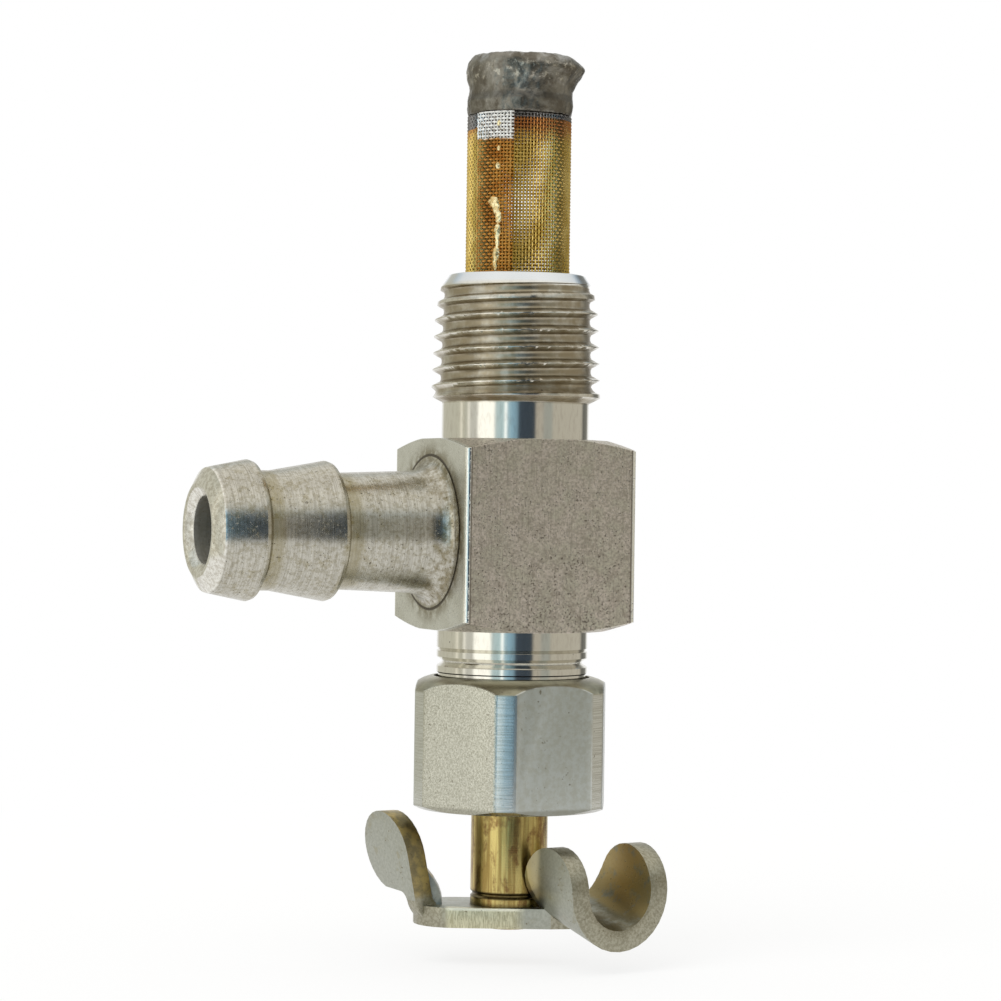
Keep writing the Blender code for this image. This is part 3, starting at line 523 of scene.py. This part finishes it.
def tail_nickel():
    """Turned nickel: fine rings, even tarnish, olive in the valleys behind the ridges."""
    f = Finish("tail_nickel", roughness=0.24)
    outer_valley, inner_valley = -22.0, -15.6
    rise = f.z - OUTLET_HEIGHT
    rings = f.noise(0.1, 3.0, 0.7, where=f.stretched(1, 0.03, 0.03))
    scratch = f.noise(0.12, 2.0, 0.6, where=f.stretched(1, 0.15, 0.15, shift=4.0)).between(0.62, 0.7)
    stains = f.noise(0.9, 4.0, 0.65, shift=2.0)
    mottle = f.noise(0.35, 4.0, 0.7, shift=9.0)
    clean = tint(rings.between(0.35, 0.7), (0.56, 0.54, 0.475), (0.4, 0.38, 0.325))
    clean = tint(mottle.between(0.46, 0.6) * 0.45, clean, (0.24, 0.21, 0.13))
    valley = f.x.band(outer_valley, 0.35, 0.8) + f.x.band(inner_valley, 0.4, 0.9)
    olive = valley * 0.6 + stains.between(0.52, 0.66) * 0.45
    clean = tint(olive * (1 - f.x.between(-25.3, -25.9)), clean, (0.3, 0.26, 0.15))
    root = f.x.between(-9.6, -8.2) * stains.between(0.4, 0.6)
    clean = tint(root * 0.7, clean, (0.2, 0.165, 0.09))
    pits = (f.noise(0.18, 3.0, 0.6, shift=6.0) + stains * 0.3).between(0.78, 0.87)
    colour = tint(pits * 0.8, clean, (0.13, 0.105, 0.07))
    lines = f.noise(0.07, 2.0, 0.6, where=f.stretched(1, 0.02, 0.02, shift=5.0))
    colour = tint(lines.between(0.56, 0.66) * 0.35, colour, (0.2, 0.185, 0.155))
    colour = tint(scratch * 0.22, colour, (0.72, 0.7, 0.64))
    nose = f.x.between(-25.9, -26.1)
    worn_nose = tint(mottle.between(0.4, 0.62), (0.78, 0.765, 0.7), (0.56, 0.53, 0.46))
    colour = tint(nose * (1 - pits * 0.6), colour, worn_nose)
    low = (rise * rise + f.y * f.y).root()
    bore = low.between(2.75, 2.6)
    # Painted shade: the bore is coloured dark and dull, with less metal.
    colour = tint(bore, colour, (0.17, 0.16, 0.13))
    return f.done(colour, [(rings, 0.005), (1 - pits, 0.01)], metallic=1 - bore * 0.8,
                  roughness=0.2 + stains * 0.12 + pits * 0.3 - nose * 0.1 + bore * 0.3)


def nut_nickel():
    """Nickel: a sparkling grained flat on the left, smoother flats, bright turned corners, olive top."""
    f = Finish("nut_nickel", roughness=0.2)
    apothem = NUT_FLATS / 2
    grained = f.facing(NUT_TURN - 150).between(apothem - 0.12, apothem - 0.03)
    any_flat = grained
    for side in (NUT_TURN - 90, NUT_TURN - 30):
        any_flat = any_flat.larger(f.facing(side).size().between(apothem - 0.12, apothem - 0.03))
    any_flat = any_flat.larger((-f.facing(NUT_TURN - 150)).between(apothem - 0.12, apothem - 0.03))
    grain = f.noise(0.15, 3.0, 0.65)
    soft = f.noise(0.5, 4.0, 0.7)
    corner = f.noise(0.08, 1.0, where=f.stretched(0.02, 0.02, 1))
    stains = f.noise(2.2, 4.0, 0.6)
    flat = tint(soft.between(0.35, 0.65), (0.54, 0.565, 0.54), (0.48, 0.49, 0.44))
    flat = tint(grained, flat, tint(grain.between(0.35, 0.65), (0.62, 0.61, 0.52), (0.42, 0.41, 0.335)))
    turned = tint(corner.between(0.4, 0.6), (0.64, 0.65, 0.61), (0.52, 0.52, 0.47))
    colour = tint(any_flat, turned, flat)
    top = f.z.between(NUT_TOP - 1.25, NUT_TOP - 1.0) * (1 - any_flat)
    colour = tint(top * 0.85, colour, tint(stains.between(0.4, 0.6), (0.36, 0.34, 0.22), (0.22, 0.2, 0.12)))
    foot = f.z.between(NUT_BOTTOM + 0.55, NUT_BOTTOM + 0.3)
    colour = tint(foot * 0.6, colour, (0.25, 0.24, 0.19))
    specks = (f.noise(0.3, 3.0, 0.6, shift=8.0) + stains * 0.2).between(0.77, 0.82)
    colour = tint(specks * 0.8, colour, (0.2, 0.18, 0.13))
    rough_height = grain * (0.12 + grained * 0.88)
    return f.done(colour, [(rough_height, 0.03), (corner * (1 - any_flat), 0.002)],
                  roughness=0.2 + any_flat * 0.1 + top * 0.1 - grained * 0.04)


def handle_nickel():
    """Dull nickel on pressed sheet: smooth grey-green faces, olive and golden sheared edges."""
    f = Finish("handle_nickel", roughness=0.34)
    grain = f.noise(0.22, 4.0, 0.65)
    stains = f.noise(1.2, 4.0, 0.62)
    sheared = f.spot.node("ShaderNodeAttribute", {"attribute_name": "sheared"}, out="Fac")
    face = tint(grain.between(0.35, 0.65), (0.41, 0.415, 0.355), (0.34, 0.345, 0.29))
    face = tint(stains.between(0.54, 0.72) * 0.5, face, (0.3, 0.27, 0.16))
    along = f.facing(TROUGH_SIDE)
    out, down = along - TROUGH_OUT, f.z - TROUGH_HEIGHT
    inside = (out * out + down * down).root().between(3.75, 3.45)
    inside = inside * f.facing(TROUGH_SIDE - 90).between(4.4, 4.9)
    # At the bottom of the trough: painted shade, broken up by the stains.
    grime_and_shade = inside * f.z.between(-49.4, -50.8) * stains.between(0.3, 0.55)
    face = tint(grime_and_shade * 0.7, face, (0.17, 0.14, 0.07))
    gold = along.between(5.0, 5.6) * along.between(7.6, 7.3) * f.z.between(-51.6, -50.6) * (1 - sheared)
    face = tint(gold * stains.between(0.3, 0.5) * 0.8, face, (0.56, 0.43, 0.19))
    rim = tint(grain.between(0.4, 0.6), (0.38, 0.36, 0.275), (0.27, 0.25, 0.18))
    ear = f.x.between(-5.0, -5.6) * f.z.between(-50.4, -49.6)
    rim = tint(ear, rim, tint(stains.between(0.35, 0.6), (0.46, 0.35, 0.13), (0.22, 0.18, 0.09)))
    colour = tint(sheared * 0.92, face, rim)
    across = f.facing(CAMERA_SIDE)
    strip = f.facing(STRIP_SIDE).between(3.1, 3.3) * across.between(-5.2, -4.6) * across.between(2.6, 2.0)
    shear = f.noise(0.1, 3.0, 0.7, where=f.stretched(1, 1, 0.14, shift=3.0))
    colour = tint(strip, colour, tint(shear.between(0.38, 0.62), (0.68, 0.65, 0.46), (0.44, 0.41, 0.27)))
    # A near-white line along the strip's top edge: a painted highlight.
    colour = tint(strip * f.z.between(-51.1, -50.9), colour, (0.85, 0.82, 0.66))
    specks = (f.noise(0.22, 3.0, 0.6, shift=5.0) + stains * 0.25).between(0.77, 0.84)
    colour = tint(specks * 0.8, colour, (0.16, 0.13, 0.07))
    return f.done(colour, [(grain, 0.008), (shear * strip, 0.02), (1 - specks, 0.01)],
                  roughness=0.32 + grain * 0.1 + strip * 0.08)


def spindle_brass():
    """Tarnished brass rod: golden, with brown stains, dark in its groove and just above the handle."""
    f = Finish("spindle_brass", roughness=0.2)
    lathe = f.noise(0.09, 2.0, where=f.stretched(0.02, 0.02, 1))
    stains = f.noise(1.0, 4.0, 0.65, where=f.stretched(1, 1, 0.55))
    lines = f.noise(0.35, 2.0, where=f.stretched(1, 1, 0.04, shift=2.0))
    gold = tint(lines.between(0.4, 0.62), (0.56, 0.45, 0.17), (0.36, 0.25, 0.08))
    gold = tint(stains.between(0.48, 0.66), gold, (0.24, 0.14, 0.05))
    # Dark bands in the groove and just above the handle.
    dark_bands = f.z.band(-49.9, 0.22, 0.14) + f.z.band(-50.75, 0.02, 0.35) * 0.8
    colour = tint(dark_bands * 0.85, gold, (0.07, 0.05, 0.02))
    return f.done(colour, [(lathe, 0.003), (stains, 0.01)], roughness=0.17 + stains * 0.16)


def gauze_brass():
    """Fine brass wire: yellow to olive in clouds, burnt brown under the solder."""
    f = Finish("gauze_brass", roughness=0.3)
    tone = f.noise(2.0, 4.0, 0.6)
    left = f.facing(LEFT_SIDE).between(2.6, 3.7)
    colour = tint(tone.between(0.38, 0.62), (0.7, 0.52, 0.17), (0.54, 0.37, 0.09))
    burnt = (f.z + f.noise(1.2, 3.0) * 2.0).between(11.2, 13.0)
    colour = tint(burnt * 0.9, colour, (0.4, 0.155, 0.05))
    coated = (f.z + left * 0.8).between(12.35, 12.45)
    colour = tint(coated, colour, (0.2, 0.19, 0.18))
    return f.done(colour, roughness=0.26 + tone * 0.12)


def lap_brass():
    """The gauze's doubled seam: copper-brown wire, tinned with bright solder at its top."""
    f = Finish("lap_brass", roughness=0.3)
    tone = f.noise(1.3, 4.0, 0.6)
    colour = tint(tone.between(0.38, 0.62), (0.74, 0.45, 0.14), (0.58, 0.29, 0.07))
    tinned = (f.z + f.noise(0.7, 3.0) * 0.8).between(11.0, 11.2)
    bright = f.noise(0.28, 2.0, shift=3.0).between(0.34, 0.48)
    tin = tint(bright, (0.5, 0.46, 0.4), (0.96, 0.95, 0.92))
    return f.done(tint(tinned, colour, tin), roughness=0.26 + tone * 0.1, metallic=1 - tinned * 0.55)


def old_solder():
    """Dark, dull solder with a few painted highlight patches on its bulge, a painted highlight on its top,
    painted shade under its lip, and black pinholes.
    """
    f = Finish("old_solder", roughness=0.34)
    tone = f.noise(1.5, 5.0, 0.65)
    rough = f.noise(0.3, 4.0, 0.65, shift=2.0)
    colour = tint(tone.between(0.36, 0.62), (0.25, 0.235, 0.2), (0.13, 0.115, 0.09))
    # Cream patches round the upper bulge: painted highlights.
    tone_and_sheen = f.noise(0.5, 5.0, 0.7, shift=4.0).between(0.52, 0.64)
    tone_and_sheen = tone_and_sheen * f.z.between(15.0, 15.8) * f.z.between(17.3, 16.6)
    colour = tint(tone_and_sheen * 0.6, colour, (0.62, 0.58, 0.48))
    streaks = f.noise(0.9, 4.0, 0.6, where=f.stretched(1, 1, 0.5, shift=1.0)).between(0.46, 0.66)
    # Lighter streaks over the top: a painted highlight.
    colour = tint(streaks * f.z.between(16.6, 17.2) * 0.6, colour, (0.46, 0.46, 0.44))
    # A dark band in the hollow under the lip: painted shade.
    colour = tint(f.z.band(14.2, 0.12, 0.3) * 0.4, colour, (0.06, 0.06, 0.06))
    holes = f.specks(0.9, 0.2, shift=2.5)
    colour = tint(holes, colour, (0.03, 0.025, 0.02))
    seam = (f.z + f.noise(0.6, 2.0, shift=9.0) * 0.8).between(13.6, 13.1)
    colour = tint(seam * rough.between(0.45, 0.6) * 0.8, colour, (0.06, 0.05, 0.045))
    return f.done(colour, [(tone, 0.12), (rough, 0.05), (1 - holes, 0.06)], roughness=0.22 + rough * 0.25)


def bright_solder():
    """Flecks of solder that ran down the gauze's seam, gilded by flux."""
    f = Finish("bright_solder", roughness=0.24)
    tone = f.noise(0.4, 4.0, 0.6)
    colour = tint(tone.between(0.42, 0.62), (0.95, 0.83, 0.5), (0.66, 0.47, 0.2))
    return f.done(colour, [(tone, 0.05)], roughness=0.22 + tone * 0.15)


def plain_brass():
    f = Finish("plain_brass", roughness=0.28)
    tone = f.noise(1.2, 3.0)
    return f.done(tint(tone, (0.6, 0.45, 0.17), (0.42, 0.29, 0.1)), roughness=0.2 + tone * 0.2)


def packing_cord():
    f = Finish("packing_cord", roughness=0.85, metallic=0.0)
    tone = f.noise(0.35, 3.0)
    return f.done(tint(tone, (0.16, 0.15, 0.13), (0.07, 0.065, 0.06)), [(tone, 0.08)])


# ---------- plated body ----------

def groove_tool():
    """The helical groove of the taper thread, with a rounded root, as a tool to cut with."""
    put_down()
    bpy.ops.mesh.primitive_plane_add(size=MM)
    tool = bpy.context.object
    tool.name = "groove_tool"
    edit(tool)
    bpy.ops.mesh.select_mode(type="VERT")
    bpy.ops.mesh.merge(type="CENTER")
    half_root, depth, over = 0.27, 0.7, 0.15
    spread = half_root + (depth + over) * math.tan(math.radians(27.5))
    root = CREST_RADIUS - depth
    section = [(CREST_RADIUS + over, spread), (root + 0.08, half_root + 0.04), (root, half_root * 0.45),
               (root, -half_root * 0.45), (root + 0.08, -half_root - 0.04), (CREST_RADIUS + over, -spread)]
    low = THREAD_END
    bpy.ops.transform.translate(value=(section[0][0] * MM, 0, (low + section[0][1]) * MM))
    for (r0, z0), (r1, z1) in zip(section, section[1:]):
        bpy.ops.mesh.extrude_region_move(
            TRANSFORM_OT_translate={"value": ((r1 - r0) * MM, 0, (z1 - z0) * MM)})
    bpy.ops.mesh.select_all(action="SELECT")
    bpy.ops.mesh.edge_face_add()
    bpy.ops.mesh.select_all(action="SELECT")
    bpy.ops.mesh.delete(type="ONLY_FACE")
    put_down()
    modify(tool, "SCREW", angle=TURN, screw_offset=PITCH * MM, iterations=9, steps=120,
           render_steps=120, use_merge_vertices=False, axis="Z")
    for v in tool.data.vertices:
        height = v.co.z / MM
        run_out = max(0, 1 - (height - low) / PITCH) * (depth + over)
        radius = math.hypot(v.co.x, v.co.y)
        wanted = radius - (height - low) / TAPER * MM + run_out * MM
        v.co.x *= wanted / radius
        v.co.y *= wanted / radius
    edit(tool)
    bpy.ops.mesh.fill_holes(sides=0)
    bpy.ops.mesh.normals_make_consistent(inside=False)
    put_down()
    return tool


def crest(z):
    """Radius of the taper thread's crests at a height, a number or a place on a finish."""
    return CREST_RADIUS - (z - THREAD_END) / TAPER


def inlet_stem():
    """Threaded stem with its counterbore, down to the block."""
    counterbore, foot = 4.43, BLOCK_TOP - 0.4
    stem = turn_profile("inlet_stem", [
        (counterbore, 0), (5.4, 0), (5.52, -0.05), (5.58, -0.16),
        (crest(0) - 0.42, -0.9), (crest(0) - 0.36, -1.0), (crest(-3.4), -3.4),
        (crest(THREAD_END), THREAD_END + 0.45), (STEM_RADIUS, THREAD_END),
        (STEM_RADIUS, THREAD_END - 0.1), (STEM_RADIUS, THREAD_END - 0.3), (STEM_RADIUS, foot),
        (STEM_BORE, foot), (STEM_BORE, -3), (counterbore, -3), (counterbore, 0),
    ], steps=120)
    cut(stem, "DIFFERENCE", groove_tool())
    soften(stem, 0.03, angle=34, segments=1)
    return stem


def body_block():
    put_down()
    bpy.ops.mesh.primitive_cube_add(size=MM)
    block = bpy.context.object
    block.name = block.data.name = "body_block"
    block.scale = (BLOCK_WIDTH, BLOCK_WIDTH, BLOCK_TOP - BLOCK_BOTTOM)
    block.location = (0, 0, (BLOCK_TOP + BLOCK_BOTTOM) / 2 * MM)
    settle(block)
    select_edges(block, lambda a, b: abs(a.z - b.z) > 5 * MM)
    bpy.ops.mesh.bevel(offset=0.34 * MM, segments=4)
    put_down()
    start, reach = 7.6, 14.8
    drop = (reach - start) * math.tan(math.radians(17))
    cut(block, "INTERSECT", turn_profile("turned_ends", [
        (0, BLOCK_TOP), (start, BLOCK_TOP), (reach, BLOCK_TOP - drop),
        (reach, BLOCK_BOTTOM + drop), (start, BLOCK_BOTTOM), (0, BLOCK_BOTTOM)], steps=192))
    cut(block, "DIFFERENCE", turn_profile("block_bore", [
        (0, 10), (STEM_BORE, 10), (STEM_BORE, -60), (0, -60)], steps=96))
    soften(block, 0.09, angle=10, segments=2)
    return block


def lower_neck():
    r, line, groove = NECK_RADIUS, BLOCK_BOTTOM - 1.6, BLOCK_BOTTOM - 2.6
    neck = turn_profile("lower_neck", [
        (3.75, BLOCK_BOTTOM + 0.4), (r, BLOCK_BOTTOM + 0.4),
        (r, line + 0.14), (r - 0.05, line + 0.1), (r - 0.14, line), (r - 0.05, line - 0.1), (r, line - 0.14),
        (r, groove + 0.38), (r - 0.06, groove + 0.32), (r - 0.4, groove + 0.1), (r - 0.44, groove),
        (r - 0.4, groove - 0.1), (r - 0.06, groove - 0.32), (r, groove - 0.38),
        (r, -32.05), (r - 0.12, -32.15), (r - 0.12, -37.5), (r - 0.5, -38),
        (4.5, -38), (4.5, -32.5), (3.75, -32.5), (3.75, BLOCK_BOTTOM + 0.4)], steps=144)
    smooth(neck, 40)
    return neck


def hose_tail():
    """The turned tail: two barbs, a flared foot, a mirror-bright nose and its bore."""
    root, flare, reach = 4.85, 6.05, 2.2
    bends = [math.radians(a) for a in range(0, 91, 9)]
    foot = [(flare - (flare - root) * math.cos(a), 0.02 + reach * (1 - math.sin(a))) for a in bends]
    profile = [
        (3.65, 19.45), (3.72, 19.43), (4.85, 18.76), (4.9, 18.66), (5.5, 15.72), (5.53, 15.58), (5.44, 15.3),
        (5.06, 15.08), (4.72, 14.86), (4.7, 14.7), (4.7, 13.65), (5.5, 9.27), (5.53, 9.13), (5.44, 8.85),
        (5.06, 8.63), (4.63, 8.42), (4.6, 8.25), *foot,
        (2.65, 0.02), (2.65, 18.85), (3.25, 19.35), (3.42, 19.44), (3.65, 19.45),
    ]
    tail = turn_profile("turned_tail", profile, steps=144)
    smooth(tail, 28)
    tail.rotation_euler = (0, -math.pi / 2, 0)
    tail.location = (-BLOCK_WIDTH / 2 * MM, 0, OUTLET_HEIGHT * MM)
    settle(tail)
    return tail


# ---------- nut, spindle and handle ----------

def hexagon_nut():
    put_down()
    corner = NUT_FLATS / 2 / math.cos(math.pi / 6)
    bpy.ops.mesh.primitive_cylinder_add(vertices=6, radius=corner * MM, depth=(NUT_TOP - NUT_BOTTOM) * MM)
    nut = bpy.context.object
    nut.name = nut.data.name = "hexagon_nut"
    nut.rotation_euler = (0, 0, math.radians(NUT_TURN - 90))
    nut.location = (0, 0, (NUT_TOP + NUT_BOTTOM) / 2 * MM)
    settle(nut)
    cut(nut, "INTERSECT", turn_profile("turned_corners", [
        (0, NUT_TOP), (6.6, NUT_TOP), (7.1, NUT_TOP - 0.16), (7.6, NUT_TOP - 0.42),
        (7.95, NUT_TOP - 0.7), (NUT_RADIUS, NUT_TOP - 1.05),
        (NUT_RADIUS, NUT_BOTTOM + 0.35), (NUT_RADIUS - 0.7, NUT_BOTTOM), (0, NUT_BOTTOM)], steps=192))
    cut(nut, "DIFFERENCE", turn_profile("nut_bore", [
        (0, NUT_TOP + 1), (6.3, NUT_TOP + 1), (6.3, -41), (3.4, -41), (3.4, NUT_BOTTOM - 1),
        (0, NUT_BOTTOM - 1)], steps=120))
    soften(nut, 0.08, angle=12, segments=2)
    return nut


def brass_spindle():
    rod = turn_profile("brass_spindle", [
        (0, -31), (2.2, -31), (3.0, -31.4), (3.1, -31.6), (3.1, -49.68), (3.04, -49.74),
        (2.95, -49.84), (2.95, -49.96), (3.04, -50.06), (3.1, -50.12), (3.1, -50.78), (1.6, -50.78),
        (1.6, -52.42), (2.24, -52.42), (2.26, -52.5), (1.95, -52.68), (1.4, -52.76), (0, -52.77)],
        steps=96)
    smooth(rod, 30)
    return rod


def pressed_handle():
    """The pressed sheet; faces with no other face behind them at its thickness are marked as sheared."""
    handle = copy_of_node("wing_handle", "pressed_handle")
    soften(handle, 0.14, angle=30, segments=3)
    bpy.context.view_layer.update()
    sheared = handle.data.attributes.new("sheared", "FLOAT", "FACE")
    side = math.radians(TROUGH_SIDE)
    ear_side = Vector((math.cos(side), math.sin(side), 0))
    for face in handle.data.polygons:
        start = face.center - face.normal * 0.05 * MM
        backed = handle.ray_cast(start, -face.normal, distance=SHEET * 1.3 * MM)[0]
        if face.center.x < -5.5 * MM and face.center.z > -50.3 * MM:
            backed = backed and abs(face.normal.dot(ear_side)) > 0.45
        sheared.data[face.index].value = 0.0 if backed else 1.0
    return handle


# ---------- strainer ----------

def wire_curve(name, points, thickness, closed):
    """A square-sectioned wire along points in millimetres, as a mesh."""
    curve = bpy.data.curves.new(name, "CURVE")
    curve.dimensions = "3D"
    curve.bevel_depth = thickness / 2 * MM
    curve.bevel_resolution = 0
    curve.use_fill_caps = not closed
    line = curve.splines.new("POLY")
    line.points.add(len(points) - 1)
    for point, place in zip(line.points, points):
        point.co = (*[c * MM for c in place], 1)
    line.use_cyclic_u = closed
    wire = bpy.data.objects.new(name, curve)
    bpy.context.scene.collection.objects.link(wire)
    pick_up(wire)
    bpy.ops.object.convert(target="MESH")
    return bpy.context.object


def copies_round(wire, count, angle):
    """Repeats a wire round the upright axis."""
    pivot = bpy.data.objects.new("pivot", None)
    pivot.rotation_euler = (0, 0, angle)
    bpy.context.scene.collection.objects.link(pivot)
    bpy.context.view_layer.update()
    modify(wire, "ARRAY", count=count, use_relative_offset=False, use_object_offset=True,
           offset_object=pivot)
    bpy.data.objects.remove(pivot)


def weave(name, middle, bottom, top, first=0, count=WIRES_ROUND, thickness=0.155):
    """Plain weave round the axis: upright wires and hoops that pass over and under each other."""
    whole = count == WIRES_ROUND
    swing = 0.055
    rows = int((top - bottom) / WEAVE)
    pieces = []
    for phase in (0, 1):
        angle = TURN * (first + phase) / WIRES_ROUND
        points = []
        for i in range(rows + 1):
            r = middle + swing * (1 if (i + phase) % 2 else -1)
            points.append((r * math.cos(angle), r * math.sin(angle), bottom + WEAVE * i))
        warp = wire_curve(f"warp_{phase}", points, thickness, False)
        copies_round(warp, (count + 1 - phase) // 2, 2 * TURN / WIRES_ROUND)
        pieces.append(warp)
        ring = []
        for i in range(count if whole else count + 1):
            a = TURN * (first + i) / WIRES_ROUND
            r = middle - swing * (1 if (i + phase) % 2 else -1)
            ring.append((r * math.cos(a), r * math.sin(a), bottom + WEAVE * phase))
        hoop = wire_curve(f"hoop_{phase}", ring, thickness, whole)
        modify(hoop, "ARRAY", count=(rows + 2 - phase) // 2, use_relative_offset=False,
               use_constant_offset=True, constant_offset_displace=(0, 0, 2 * WEAVE * MM))
        pieces.append(hoop)
    gauze = joined(name, pieces)
    smooth(gauze, 60)
    return gauze


def woven_gauze():
    return weave("woven_gauze", GAUZE_RADIUS - 0.13, GAUZE_BOTTOM, GAUZE_TOP + 0.2)


def gauze_lap():
    """The second layer of gauze where its ends lap, down one side."""
    step = 360 / WIRES_ROUND
    first, count = round((LAP_SIDE - LAP_HALF_ANGLE) / step), round(2 * LAP_HALF_ANGLE / step)
    return weave("gauze_lap", GAUZE_RADIUS + 0.02, 0.1, GAUZE_TOP, first, count, thickness=0.15)


def solder_flecks():
    """Runs of solder down the seam: flattened blobs melted together."""
    blobs = []
    for height, side, tall, wide in [
        (5.6, -141.5, 0.45, 0.5), (5.1, -138.5, 0.6, 0.34), (4.4, -136.0, 0.55, 0.32),
        (3.2, -136.6, 0.7, 0.3), (2.4, -137.0, 0.4, 0.24), (1.5, -137.8, 0.6, 0.32),
        (0.6, -138.8, 0.5, 0.22), (8.5, -137.0, 0.32, 0.2), (9.9, -136.5, 0.24, 0.17),
        (11.9, -136.8, 0.26, 0.17)]:
        put_down()
        bpy.ops.mesh.primitive_uv_sphere_add(segments=16, ring_count=10, radius=MM,
                                             location=((GAUZE_RADIUS + 0.06) * MM, 0, height * MM))
        blob = bpy.context.object
        blob.scale = (0.13, wide, tall)
        settle(blob)
        blob.rotation_euler = (0, 0, math.radians(side))
        settle(blob)
        blobs.append(blob)
    flecks = joined("solder_flecks", blobs)
    modify(flecks, "REMESH", mode="VOXEL", voxel_size=0.05 * MM)
    ripple = bpy.data.textures.new("fleck_ripple", "CLOUDS")
    ripple.noise_scale = 0.35 * MM
    modify(flecks, "DISPLACE", texture=ripple, texture_coords="LOCAL", strength=0.22 * MM, mid_level=0.5)
    modify(flecks, "SMOOTH", factor=0.5, iterations=2)
    smooth(flecks, 80)
    return flecks


def solder_cap():
    """The solder lump: the solid's shape with its facets melted away, then small lumps and dents."""
    flatter, foot = 0.92, 13.2
    cap = copy_of_node("strainer_cap", "solder_cap")
    modify(cap, "REMESH", mode="VOXEL", voxel_size=0.13 * MM)
    modify(cap, "SMOOTH", factor=0.6, iterations=14)
    for name, size, height in (("wide_lumps", 1.5, 0.3), ("small_lumps", 0.55, 0.12)):
        clouds = bpy.data.textures.new(name, "CLOUDS")
        clouds.noise_scale = size * MM
        modify(cap, "DISPLACE", texture=clouds, texture_coords="LOCAL", strength=height * MM, mid_level=0.5)
    cap.scale = (1, 1, flatter)
    cap.location = (0, 0, foot * (1 - flatter) * MM)
    settle(cap)
    smooth(cap, 80)
    return cap


# ---------- putting it together ----------

def carry(piece, surface, body, slot, *nodes):
    dress(piece, surface)
    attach(piece, body)
    if nodes:
        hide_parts(*nodes)


def build():
    camera()
    studio()
    window_light()
    floor()
    turned = stem_nickel()
    carry(inlet_stem(), turned, "tap_body", "nickel_body", "valve_body")
    carry(body_block(), body_nickel(), "tap_body", "nickel_body", "valve_body")
    carry(lower_neck(), turned, "tap_body", "nickel_body", "valve_body")
    carry(hose_tail(), tail_nickel(), "tap_body", "nickel_tail", "hose_tail")
    carry(woven_gauze(), gauze_brass(), "tap_body", "gauze", "strainer_gauze")
    carry(gauze_lap(), lap_brass(), "tap_body", "gauze", "strainer_gauze")
    carry(solder_flecks(), bright_solder(), "tap_body", "solder")
    carry(solder_cap(), old_solder(), "tap_body", "solder", "strainer_cap")
    carry(hexagon_nut(), nut_nickel(), "tap_body", "nickel_nut", "gland_nut")
    carry(brass_spindle(), spindle_brass(), "spindle", "brass", "spindle")
    carry(pressed_handle(), handle_nickel(), "spindle", "nickel_handle", "wing_handle")
    brass, cord = plain_brass(), packing_cord()
    for node in ("gland_follower", "packing_washer", "valve_cone"):
        dress(frame["nodes"][node], brass)
    for i in (1, 2, 3):
        dress(frame["nodes"][f"gland_packing_{i}"], cord)


build()
bpy.context.scene.view_settings.view_transform = "Standard"
